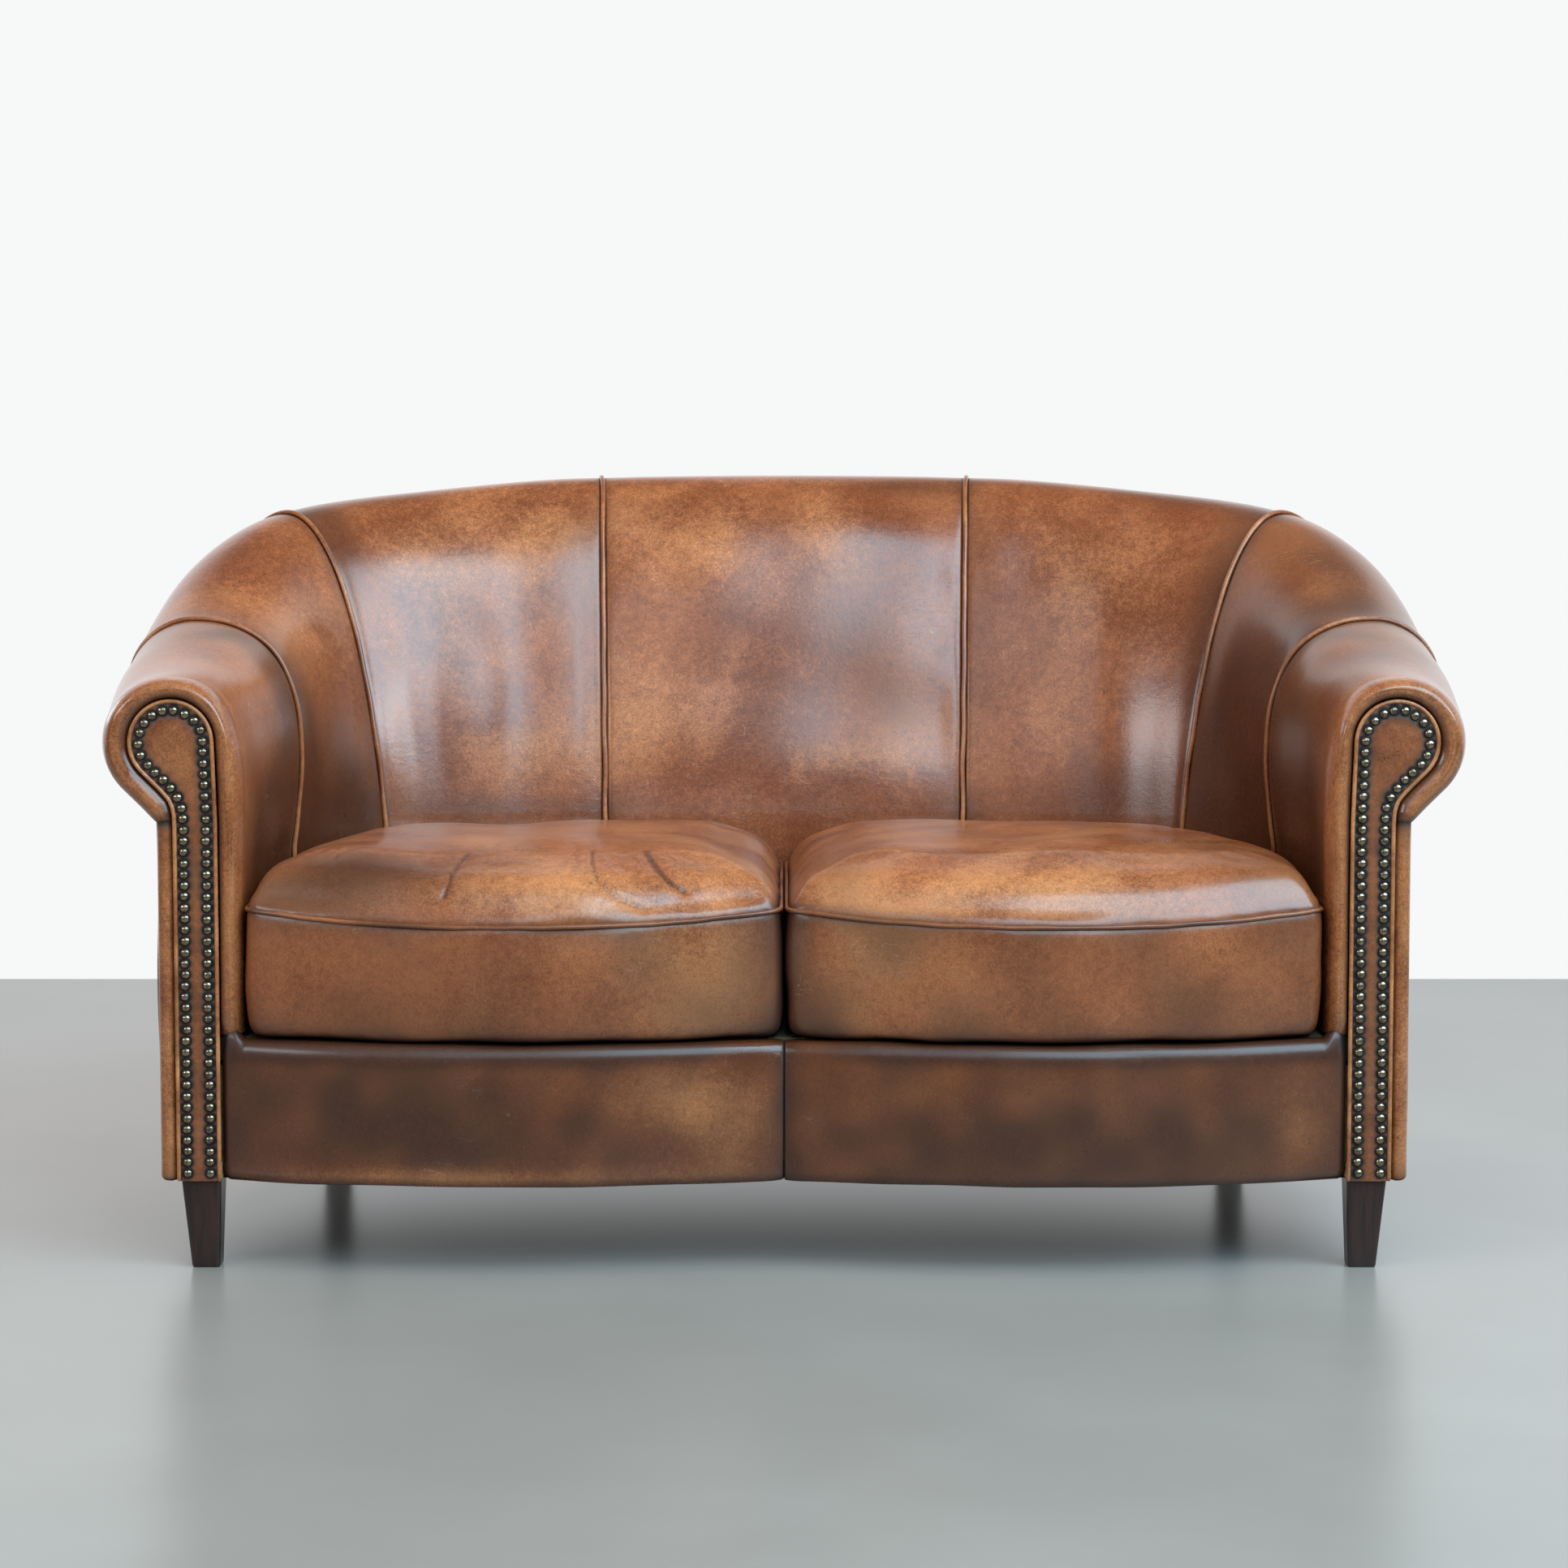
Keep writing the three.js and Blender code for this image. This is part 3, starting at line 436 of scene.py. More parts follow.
def pointsAlong(line, places):
    at = lengths(line)
    return np.stack([np.interp(places, at, column) for column in line.T], axis=1)


def headings(line):
    ahead = np.gradient(line, axis=0)
    return ahead / np.hypot(*ahead.T)[:, None]


def addShell(name, face, back, side, finish, masks):
    # A thin wall with the same masks of wear and painted light and shade on both its faces.
    points, quads = shell(face, back)
    doubled = {key: np.concatenate([(values + 0 * face[..., 0]).ravel()] * 2) for key, values in masks.items()}
    return addMesh(name, turned(points, side), quads, finish, doubled)


# ---- the ridge and the tub's section ----
tub = {"halfWidth": 0.695, "armStraight": 0.2, "armFlare": 0.013, "depth": 0.5, "squareness": 3.25,
       "seams": (0.281, 0.562, 0.989), "panelBottom": 0.262, "neckReach": 0.015, "neckDrop": 2.2, "rollTo": 133,
       "steps": {"wall": 12, "inner": 66, "roll": 40, "neck": 24}}
# run, crest, then reach of the crest, belly, drop of the belly, depth at the seat, seat level, roll radius
sectionRows = np.array([
    [0, 0.659, 0.070, 0.088, 0.050, 0.080, 0.446, 0.0735],
    [0.281, 0.714, 0.158, 0.124, 0.188, 0.114, 0.446, 0.076],
    [0.562, 0.838, 0.093, 0.146, 0.199, 0.167, 0.459, 0.073],
    [0.739, 0.863, 0.088, 0.140, 0.195, 0.170, 0.457, 0.071],
    [0.989, 0.883, 0.085, 0.135, 0.190, 0.172, 0.456, 0.070],
    [1.224, 0.8855, 0.085, 0.135, 0.190, 0.175, 0.456, 0.070],
])


def ridgeLine():
    # Seen from above: a straight arm that flares by half a cosine wave, then a quarter of a superellipse,
    # |x / halfWidth|^n + |d / depth|^n = 1, and the same mirrored. Columns: run, x, d, heading x, heading d.
    d = np.linspace(0, tub["armStraight"], 400, endpoint=False)
    x = tub["armFlare"] * (1 + np.cos(np.pi * d / tub["armStraight"])) / 2 - tub["halfWidth"]
    angle, power = np.linspace(0, np.pi / 2, 3000), tub["squareness"]
    reach = ((np.abs(np.cos(angle)) / tub["halfWidth"]) ** power
             + (np.sin(angle) / tub["depth"]) ** power) ** (-1 / power)
    x, d = np.r_[x, -reach * np.cos(angle)], np.r_[d, tub["armStraight"] + reach * np.sin(angle)]
    x, d = np.r_[x, -x[-2::-1]], np.r_[d, d[-2::-1]]
    run = np.r_[0, np.cumsum(np.hypot(np.diff(x), np.diff(d)))]
    return run, x, d, np.gradient(x, run), np.gradient(d, run)


ridgeTable = ridgeLine()
wholeRun = ridgeTable[0][-1]
halfRun = wholeRun / 2


def ridgeAt(run):
    x, d, headX, headD = (np.interp(run, ridgeTable[0], column) for column in ridgeTable[1:])
    size = np.hypot(headX, headD)
    return x, d, headX / size, headD / size


def sectionAt(run):
    # Cubic pieces through the rows; each row's slope is the harmonic mean of its two sides, level at both ends.
    at, values = sectionRows[:, 0], sectionRows[:, 1:]
    secant = np.diff(values, axis=0) / np.diff(at)[:, None]
    before, after = secant[:-1], secant[1:]
    product = before * after
    mean = np.where(product > 0, 2 * product / np.where(product > 0, before + after, 1), 0)
    slope = np.concatenate([0 * mean[:1], mean, 0 * mean[:1]])
    s = np.minimum(np.minimum(run, wholeRun - run), at[-1])
    row = np.clip(np.searchsorted(at, s, side="left") - 1, 0, len(at) - 2)
    span = (at[row + 1] - at[row])[..., None]
    t = (s[..., None] - at[row][..., None]) / span
    rise = values[row + 1] - values[row]
    a, b = slope[row] * span - rise, rise - slope[row + 1] * span
    return np.moveaxis(values[row] + t * rise + t * (1 - t) * (a * (1 - t) + b * t), -1, 0)


def sectionFace(run):
    # The leather's line in each section: up from the deck, a cubic Bezier over the belly to the crest,
    # an arc over the roll and a straight to the neck. Returns out, height, the two parts of its normal
    # and the length along it, each with a row for every run.
    crest, reach, belly, drop, depth, seat, roll = (v[:, None] for v in sectionAt(np.atleast_1d(run)))
    steps = tub["steps"]
    t = np.linspace(0, 1, steps["wall"], endpoint=False)[None]
    wall = -depth + 0 * t, tub["panelBottom"] + (seat - tub["panelBottom"]) * t
    t = np.linspace(0, 1, steps["inner"], endpoint=False)[None]
    weights = (1 - t) ** 3, 3 * t * (1 - t) ** 2, 3 * t * t * (1 - t)
    inner = (-depth * weights[0] - belly * weights[1] - reach * weights[2],
             seat * weights[0] + (crest - drop) * weights[1] + crest * (weights[2] + t ** 3))
    angle = np.radians(np.linspace(0, tub["rollTo"], steps["roll"], endpoint=False))[None]
    over = roll * np.sin(angle), crest - roll * (1 - np.cos(angle))
    t, end = np.linspace(0, 1, steps["neck"])[None], math.radians(tub["rollTo"])
    fromOut, fromZ = roll * math.sin(end), crest - roll * (1 - math.cos(end))
    neck = (fromOut + (tub["neckReach"] - fromOut) * t, fromZ + (crest - tub["neckDrop"] * roll - fromZ) * t)
    out, z = (np.concatenate(parts, axis=1) for parts in zip(wall, inner, over, neck))
    stepOut, stepZ = np.gradient(out, axis=1), np.gradient(z, axis=1)
    size = np.hypot(stepOut, stepZ)
    return out, z, -stepZ / size, stepOut / size, np.cumsum(size, axis=1)


def inSpace(run, out, z):
    x, d, headX, headD = (v[:, None] for v in ridgeAt(run))
    return table(x - headD * out, frontY + d + headX * out, z)


def raised(run, section, rise):
    # The leather's points, moved out along its normal.
    out, z, normalOut, normalZ, along = section
    return inSpace(run, out + normalOut * rise, z + normalZ * rise)


def denseEnds(start, end, step, gather=0.75):
    # Stations about a step apart, closer at both ends.
    u = np.linspace(0, 1, max(int((end - start) / step), 8))
    return start + (end - start) * (u - gather * np.sin(2 * np.pi * u) / (2 * np.pi))


# ---- leather panels of the tub ----
skin = {"step": 0.0045, "thick": 0.0025, "seamEdge": 0.0012, "tuck": 0.0052, "tuckWidth": 0.0030,
        "valley": 0.0016, "valleyWidth": 0.008, "puff": 0.0030, "puffWidth": 0.050, "wave": 0.0005,
        "dent": 0.0009, "belly": 0.0045}
seams = np.array([*tub["seams"], *(wholeRun - np.array(tub["seams"]))[::-1]])

# Spots of wear and painted light on the left and right halves: run, height, radius along, radius up, strength.
# The dark spots low on the arms and corners, just above the seat, are burnished leather and painted shade
# beside the cushions;
# the light spots are rubbed leather and partly painted light.
wearAndLight = {
    "burnishAndShade": {
        "left": [(0.17, 0.48, 0.11, 0.12, 1.3), (0.24, 0.62, 0.05, 0.12, 0.7), (0.31, 0.52, 0.06, 0.15, 1.0),
                 (0.44, 0.50, 0.10, 0.12, 1.15), (0.55, 0.60, 0.03, 0.16, 0.35),
                 (0.60, 0.80, 0.045, 0.07, 0.65),
                 (0.66, 0.86, 0.12, 0.02, 0.4), (0.96, 0.76, 0.035, 0.12, 0.45), (0.66, 0.49, 0.10, 0.03, 0.4),
                 (0.85, 0.475, 0.14, 0.015, 0.4), (1.14, 0.70, 0.05, 0.04, 0.3)],
        "right": [(0.17, 0.52, 0.13, 0.15, 1.4), (0.31, 0.56, 0.06, 0.16, 1.0), (0.44, 0.58, 0.13, 0.16, 1.2),
                  (0.46, 0.80, 0.08, 0.05, 0.35), (0.60, 0.72, 0.05, 0.14, 0.5),
                  (0.66, 0.86, 0.14, 0.025, 0.45),
                  (0.72, 0.50, 0.16, 0.04, 0.55), (0.96, 0.76, 0.025, 0.12, 0.3),
                  (1.08, 0.87, 0.12, 0.014, 0.45),
                  (1.13, 0.70, 0.07, 0.06, 0.4), (1.08, 0.60, 0.06, 0.05, 0.35), (0.90, 0.66, 0.08, 0.05, 0.2)],
    },
    "rubAndLight": {
        "left": [(0.25, 0.68, 0.05, 0.04, 0.45), (0.40, 0.70, 0.06, 0.06, 0.45), (0.72, 0.80, 0.10, 0.06, 0.5),
                 (0.90, 0.80, 0.08, 0.07, 0.45), (0.88, 0.54, 0.12, 0.04, 0.55), (1.08, 0.80, 0.10, 0.06, 0.5),
                 (1.06, 0.58, 0.10, 0.07, 0.5), (0.76, 0.68, 0.03, 0.10, 0.4)],
        "right": [(0.25, 0.68, 0.05, 0.04, 0.3), (0.40, 0.74, 0.06, 0.05, 0.25), (0.80, 0.74, 0.10, 0.07, 0.35),
                  (0.88, 0.56, 0.06, 0.06, 0.3), (1.18, 0.80, 0.06, 0.06, 0.35), (1.14, 0.53, 0.14, 0.03, 0.5),
                  (0.72, 0.80, 0.05, 0.03, 0.2)],
    },
}


def awayFromCrest(out):
    # 0 on the crest, where the leather is drawn tight, 1 well down either side.
    return ease(np.abs(out + 0.005), 0.012, 0.07)


def seamDistance(run):
    return np.abs(run[:, None] - seams[None]).min(axis=1)[:, None]


def lift(run, along, seed, fromCrest=1.0):
    # How far the leather stands out: a valley and a tuck beside each seam, a puff between them, waves
    # and dents.
    gap = seamDistance(run)
    s = run[:, None]
    rise = skin["puff"] * (1 - fading(gap, skin["puffWidth"]))
    rise = rise - skin["valley"] * bell(gap, skin["valleyWidth"])
    rise = rise - skin["tuck"] * bell(gap, skin["tuckWidth"])
    calm = ease(gap, 0.004, 0.04)
    rise = rise + skin["belly"] * np.clip(1 - ((s - halfRun) / (halfRun - tub["seams"][2])) ** 2, 0, 1)
    rise = rise + calm * skin["wave"] * ripple(s, 0.12 * along, 0.13, seed)
    rise = rise + calm * skin["dent"] * ripple(s, along, 0.19, seed + 1)
    onCrest = 0.0006 * ease(gap, 0, 0.06) - 0.0035 * bell(gap, skin["tuckWidth"])
    return rise * fromCrest + onCrest * (1 - fromCrest)


def wearAndLightMasks(run, z, side, along):
    gap, s = seamDistance(run), np.minimum(run, wholeRun - run)[:, None] + 0 * z
    sides = np.where((run > halfRun)[:, None], 1.0, 0.0) if side == "both" else (0.0 if side == "left" else 1.0)
    pick = lambda key: spots(s, z, wearAndLight[key]["left"]) * (1 - sides) + spots(s, z, wearAndLight[key]["right"]) * sides
    patchy = patches(s, along, 0.08, 71)
    crest = bell(z - sectionAt(run)[0][:, None], 0.016)
    # the bands beside the seams and along the crest are burnished leather; the darkening below the seat's top,
    # beside the cushions, is painted shade; the right half is a little darker
    burnishAndShade = 0.55 * fading(gap, 0.014) * (0.6 + 0.4 * patchy) + 0.2 * crest * patchy + pick("burnishAndShade")
    burnishAndShade = burnishAndShade + 0.30 * (1 - ease(z, 0.46, 0.51)) + 0.06 * ripple(s, along, 0.16, 72) + 0.12 * sides
    rubAndLight = 0.8 * pick("rubAndLight") + 0.08 + 0.08 * ripple(s, along, 0.2, 73)
    # a near-black line in each seam's groove: painted shade
    dirtAndShade = 0.9 * bell(gap, 0.0045) + 0 * z
    return {"burnishAndShade": burnishAndShade, "rubAndLight": rubAndLight, "dirtAndShade": dirtAndShade, "crumple": 0 * z + 0.12 * ease(patchy, 0.7, 1.0)}


def panel(name, nodes, run, side, seed):
    # A stretch of the tub between two seams, always worked out on the left half and then turned over.
    section = out, z, normalOut, normalZ, along = sectionFace(run)
    rise = lift(run, along, seed, awayFromCrest(out))
    face, back = raised(run, section, rise), raised(run, section, rise - skin["thick"])
    masks = wearAndLightMasks(run, z, side, along)
    made = addShell(name, face, back, side, "tub", masks)
    return settle(made, nodes)


# ---- arms, with the fat roll round each facing ----
facing = {"headX": -0.6763, "headZ": 0.5875, "head": 0.0455, "outer": -0.673, "inner": -0.628, "neckZ": 0.497,
          "neckAngle": 225, "taper": 0.0028, "bottom": 0.0985, "dome": 0.0022, "faceD": -0.0026, "backD": 0.004,
          "cord": 0.0024, "cordStep": 0.004, "cordSides": 10, "weltD": -0.0034}
nose = {"from": 0.030, "front": -0.0085, "strip": 0.0010, "groove": 0.002, "rows": 26, "gap": 0.0004}


def neckShare(z):
    # 0 at the neck's foot, 1 level with the middle of the head.
    return np.clip((z - facing["neckZ"]) / (facing["headZ"] - facing["neckZ"]), 0, 1)


def neckLine(t, outward):
    # Where the facing's edge leaves its round head for the straight neck, as a share of the way down.
    turn = math.radians(facing["neckAngle"])
    start = (facing["headX"] + facing["head"] * math.cos(turn),
             facing["headZ"] + facing["head"] * math.sin(turn))
    places = np.array([start, (-0.689, 0.536), (-0.6778, 0.5235), (-0.6738, 0.511),
                       (facing["outer"], facing["neckZ"])])
    x, z = pointsAlong(places, t * lengths(places)[-1]).T
    stepX, stepZ = np.gradient(x), np.gradient(z)
    size = np.hypot(stepX, stepZ)
    return x + outward * stepZ / size, z - outward * stepX / size


def grooveTarget(x, z):
    # For each point of the arm's outline, the point of the facing's edge that it rolls in to.
    edge = facing["cord"] + nose["gap"]
    steps = tub["steps"]
    arcEnd = steps["wall"] + steps["inner"] + steps["roll"]
    angle = np.degrees(np.arctan2(z - facing["headZ"], x - facing["headX"]))
    angle = np.where(angle < -120, angle + 360, angle)
    turn = np.radians(np.clip(angle, 0, None) * facing["neckAngle"] / angle[arcEnd - 1])
    reach = facing["head"] + edge
    side = facing["inner"] - facing["taper"] * neckShare(z) + edge
    onHead = angle > 0
    targetX = np.where(onHead, facing["headX"] + reach * np.cos(turn), side)
    targetZ = np.where(onHead, facing["headZ"] + reach * np.sin(turn), z)
    targetX[arcEnd:], targetZ[arcEnd:] = neckLine(np.linspace(0, 1, steps["neck"]), edge)
    return targetX, targetZ


def armPanel(side, seed):
    start = np.array([nose["from"]])
    out, z, normalOut, normalZ, along = sectionFace(start)
    outline = inSpace(start, out, z)[0]
    targetX, targetZ = grooveTarget(outline[:, 0], outline[:, 2])
    # across the roll: half a turn from the groove (1) to the arm's side (0), an ellipse quarter on each side
    turn = np.linspace(np.pi, 0, nose["rows"], endpoint=False)[:, None]
    share = (1 - np.cos(turn)) / 2
    # the roll thins out at its foot and tucks in above the strip at its other end
    low = ease(outline[:, 2], tub["panelBottom"] - 0.004, tub["panelBottom"] + 0.020)[None]
    tail = np.sqrt(np.clip((along[0][-1] - along[0]) / 0.010, 0, 1))[None]
    front = (nose["front"] * low + 0.004 * (1 - low)) * tail + nose["strip"] * (1 - tail)
    depth = np.where(turn > np.pi / 2, nose["groove"] + (front - nose["groove"]) * np.sin(turn),
                     nose["from"] + (front - nose["from"]) * np.sin(turn))
    wrinkle = 0.0004 * ripple(along, 0.03 * share, 0.045, seed + 5) * np.sin(turn)
    wrinkle = wrinkle + 0.0010 * ripple(along, 0 * share, 0.14, seed + 6) * np.sin(turn)
    rollX = outline[None, :, 0] + (targetX - outline[:, 0])[None] * share
    rollZ = outline[None, :, 2] + (targetZ - outline[:, 2])[None] * share
    roll = table(rollX, frontY + depth - wrinkle, rollZ)
    inside = roll + np.array([0, skin["thick"], 0])
    run = np.r_[nose["from"],
                denseEnds(nose["from"] + 0.003, tub["seams"][0] - skin["seamEdge"], skin["step"], 0.6)]
    section = out, z, normalOut, normalZ, along = sectionFace(run)
    rise = lift(run, along, seed, awayFromCrest(out)) * ease(run, nose["from"], 0.11)[:, None]
    face = np.concatenate([roll, raised(run, section, rise)])
    back = np.concatenate([inside, raised(run, section, rise - skin["thick"])])
    masks = wearAndLightMasks(run, z, side, along)
    still = np.ones_like(rollZ)
    onRoll = np.sin(turn) * still
    blotch = patches(along[0][None], share, 0.11, seed + 9)
    neckEnd = fading(along[0][-1] - along[0], 0.010)[None]
    # on the roll: darker towards the groove round the facing and at the neck's end where the roll tucks under,
    # painted shade there; lighter over the roll, rubbed leather
    first = {
        "burnishAndShade": 0.80 * ease(share, 0.62, 0.98) + 0.25 * ease(blotch, 0.5, 1.1) * still + 0.15
                   + 0.7 * neckEnd * still,
        "rubAndLight": 0.50 * onRoll * (0.6 + 0.5 * blotch),
        "dirtAndShade": 0.60 * ease(share, 0.93, 1.0) * still + 0.8 * neckEnd ** 3 * still,
        "crumple": 0.2 * onRoll * ease(blotch, 0.5, 1),
    }
    fade = 1 - ease(run, nose["from"], 0.075)[:, None]
    masks["rubAndLight"] = masks["rubAndLight"] + 0.30 * fade
    masks = {key: np.concatenate([first[key], masks[key]]) for key in masks}
    made = addShell(f"armPanel_{side}", face, back, side, "tub", masks)
    return settle(made, [f"arm_panel_{side}", f"arm_foam_{side}"])


def addTub():
    edge = skin["seamEdge"]
    first, second, third = tub["seams"]
    for side, seed in (("left", 10), ("right", 40)):
        armPanel(side, seed)
        run = denseEnds(first + edge, second - edge, skin["step"])
        panel(f"cornerPanel_{side}", [f"corner_panel_{side}"], run, side, seed + 3)
        run = denseEnds(second + edge, third - edge, skin["step"])
        panel(f"backPanel_{side}", [f"back_panel_{side}"], run, side, seed + 6)
    run = denseEnds(third + edge, wholeRun - third - edge, skin["step"])
    panel("backPanel_centre", ["back_panel_centre", "back_foam"], run, "both", 80)
    print("tub panels: 7")


addTub()

# ---- seam welts ----
cordage = {"radius": 0.003, "lift": 0.0008, "uneven": 0.0003, "sway": 0.0006, "sides": 12, "endSize": 0.55}


def cord(path, across, up, radius, sides):
    # A round cord along a path: at each point a circle in the plane of two directions, drawn in at both ends.
    angle = np.linspace(0, 2 * np.pi, sides, endpoint=False)[None, :, None]
    size = np.ones(len(path))
    size[[0, -1]] = cordage["endSize"]
    size = radius * size[:, None, None]
    return path[:, None] + size * (np.cos(angle) * across[:, None] + np.sin(angle) * up[:, None])


def addWelts():
    for side in ("left", "right"):
        for name, s in zip(("arm", "corner", "back"), tub["seams"]):
            run = np.array([s])
            section = sectionFace(run)
            normalOut, normalZ, along = (v[0] for v in section[2:])
            headX, headD = (v[0] for v in ridgeAt(run)[2:])
            path = raised(run, section, cordage["lift"] + cordage["uneven"] * ripple(along, 0, 0.06, 5))[0]
            sway = cordage["sway"] * ripple(along, 0, 0.10, 6)[:, None]
            across = np.array([headX, headD, 0]) + 0 * path
            up = table(-headD * normalOut, headX * normalOut, normalZ)
            rings = cord(path + across * sway, across, up, cordage["radius"], cordage["sides"])
            points, quads = loft(rings)
            spread = np.repeat(along, cordage["sides"])
            worn = 0.22 + 0.16 * ripple(spread, 0, 0.09, 8)
            masks = {"rubAndLight": np.r_[worn, 0, 0], "burnishAndShade": np.r_[0.22 - 0.18 * ripple(spread, 0, 0.11, 9), 0, 0]}
            made = addMesh(f"{name}Welt_{side}", turned(points, side), quads, "piping", masks)
            settle(made, [f"{name}_welt_{side}"])
    print("seam welts: 6")


addWelts()

# ---- outer arms and outer back ----
outer = {"offset": 0.012, "thick": 0.003, "bottom": 0.0985, "over": 0.006, "hem": 0.006, "stripWidth": 0.0093,
         "stripFront": -0.0050, "stripRows": 22, "bulge": 0.0015}


def outerColumn(top):
    # Height and inward turn up a panel: a hem rolled under, then straight to its top edge.
    curl = np.linspace(np.pi / 2, 0, 6)
    hemZ, hemIn = outer["hem"] * (1 - np.sin(curl)), outer["hem"] * (1 - np.cos(curl))
    t = np.linspace(0, 1, 60)[None, 1:]
    z = np.concatenate([outer["bottom"] + hemZ[None] + 0 * top,
                        outer["bottom"] + outer["hem"] + (top - outer["bottom"] - outer["hem"]) * t], axis=1)
    inward = np.concatenate([hemIn[None] + 0 * top, 0 * top + 0 * t], axis=1)
    return z, inward


def outerTop(run):
    crest, roll = sectionAt(run)[[0, 6]]
    return (crest - tub["neckDrop"] * roll + outer["over"])[:, None]


def outerPanel(name, nodes, run, side, seed, withStrip):
    x, d, headX, headD = ridgeAt(run)
    outX, outD = -headD, headX
    baseX, baseD, top = x + outX * outer["offset"], d + outD * outer["offset"], outerTop(run)
    strip = np.zeros_like(run)
    if withStrip:
        # the front strip: half an ellipse from the groove by the facing round to the arm's side
        turn = np.linspace(0, np.pi, outer["stripRows"], endpoint=False)
        middle = baseX[0] + outer["stripWidth"]
        stripX = middle + outer["stripWidth"] * np.cos(turn)
        stripD = run[0] + (outer["stripFront"] - run[0]) * np.sin(turn) ** 0.8
        baseX, baseD = np.r_[stripX, baseX], np.r_[stripD, baseD]
        outX, outD = np.r_[0 * turn, outX], np.r_[0 * turn - 1, outD]
        outX[:len(turn)], outD[:len(turn)] = -np.sin(turn / 2) * (turn > 1.5), -np.cos(turn / 2)
        top = np.concatenate([0 * turn[:, None] + top[0] - 0.003, top])
        strip = np.r_[1 + 0 * turn, strip]
    z, inward = outerColumn(top)
    flat = np.r_[np.linspace(-0.03, 0, outer["stripRows"], endpoint=False), run] if withStrip else run
    swell = outer["bulge"] * np.sin(np.clip((z - 0.1) / (top - 0.1), 0, 1) * np.pi)
    rise = (1 - strip)[:, None] * (swell + 0.001 * ripple(flat[:, None], z, 0.22, seed))
    ends = seamDistance(flat) if not withStrip else np.abs(flat - flat[-1])[:, None]
    rise = rise - 0.003 * bell(ends, 0.004) - inward
    grid = lambda r: table(baseX[:, None] + outX[:, None] * r, frontY + baseD[:, None] + outD[:, None] * r, z)
    face, back = grid(rise), grid(rise - outer["thick"])
    patchy = patches(flat[:, None], z, 0.1, seed + 3)
    s = flat[:, None] + 0 * z
    # darker along the hem at the foot and under the roll's overhang at the top: painted shade; darker beside
    # the seams: burnished leather
    masks = {
        "burnishAndShade": 0.55 * fading(ends, 0.012) + 0.6 * fading(z - outer["bottom"], 0.022)
                   + 0.7 * fading(top - z, 0.03) + 0.15 * patchy,
        "rubAndLight": 0.12 * patchy + strip[:, None] * (0.28 + 0.2 * patchy),
        "dirtAndShade": 0.8 * fading(z - outer["bottom"], 0.005) + 0.9 * fading(top - z, 0.012),
        "crumple": 0.15 * ease(patchy, 0.7, 1.0),
    }
    # near black in the groove beside the facing: painted shade
    if withStrip:
        masks["dirtAndShade"] = masks["dirtAndShade"] + 1.1 * ease(-s, 0.0255, 0.0295)
    made = addShell(name, face, back, side, "tub", masks)
    return settle(made, nodes)


def addOuter():
    split = tub["seams"][1]
    for side, seed in (("left", 120), ("right", 130)):
        run = np.r_[0.009, denseEnds(0.012, split - 0.0003, 0.006, 0.5)]
        outerPanel(f"outerArm_{side}", [f"outer_arm_{side}"], run, side, seed, True)
    run = denseEnds(split + 0.0003, wholeRun - split - 0.0003, 0.006, 0.5)
    outerPanel("outerBack", ["outer_back"], run, "left", 140, False)
    print("outer panels: 3")


addOuter()

# ---- facings: panel, welt and nails ----
nails = {"radius": 0.0050, "height": 0.0033, "pitch": 0.0123, "inset": 0.0100, "lowest": 0.107,
         "wobble": 0.00035, "sizes": (0.95, 1.05), "sides": 12, "tip": 0.06}


def facingPath(inset, step):
    # Up the outer side, through the neck's curve, round the head clockwise and down the inner side, moved in.
    angle = np.radians(np.linspace(facing["neckAngle"], 0, 60))
    sides = np.linspace(0, 1, 80)
    head = table(facing["headX"] + facing["head"] * np.cos(angle),
                 facing["headZ"] + facing["head"] * np.sin(angle))
    neck = np.stack(neckLine(np.linspace(1, 0, 24), 0), axis=1)
    rise = table(facing["outer"], facing["bottom"] + (facing["neckZ"] - facing["bottom"]) * sides)
    tip = np.array([[facing["inner"], facing["neckZ"]], [facing["inner"], facing["bottom"]]])
    fall = np.concatenate([head[-1] + (tip[0] - head[-1]) * np.linspace(0, 1, 20)[1:, None],
                           tip[0] + (tip[1] - tip[0]) * sides[1:, None]])
    line = np.concatenate([rise, neck[1:], head[1:], fall])
    for _ in range(2):  # take the corners off
        line[1:-1] = (line[:-2] + 2 * line[1:-1] + line[2:]) / 4
    ahead = headings(line)
    line = line + inset * table(ahead[:, 1], -ahead[:, 0])
    whole = lengths(line)[-1]
    return pointsAlong(line, np.linspace(0, whole, int(whole / step) + 1))


def nailPlaces():
    line = facingPath(nails["inset"], 0.001)
    line = line[line[:, 1] > nails["lowest"]]
    whole = lengths(line)[-1]
    return pointsAlong(line, np.linspace(0, whole, int(round(whole / nails["pitch"])) + 1))


def facingWidth(z):
    # Left and right edge of the facing at each height.
    reach = np.sqrt(np.clip(facing["head"] ** 2 - (z - facing["headZ"]) ** 2, 0, None))
    neckX, neckZ = neckLine(np.linspace(0, 1, 30), 0)
    left = np.where(z > neckZ[0], facing["headX"] - reach, np.interp(z, neckZ[::-1], neckX[::-1]))
    tapered = facing["inner"] - facing["taper"] * neckShare(z)
    right = np.where(z > facing["headZ"], facing["headX"] + reach, tapered)
    return left, right


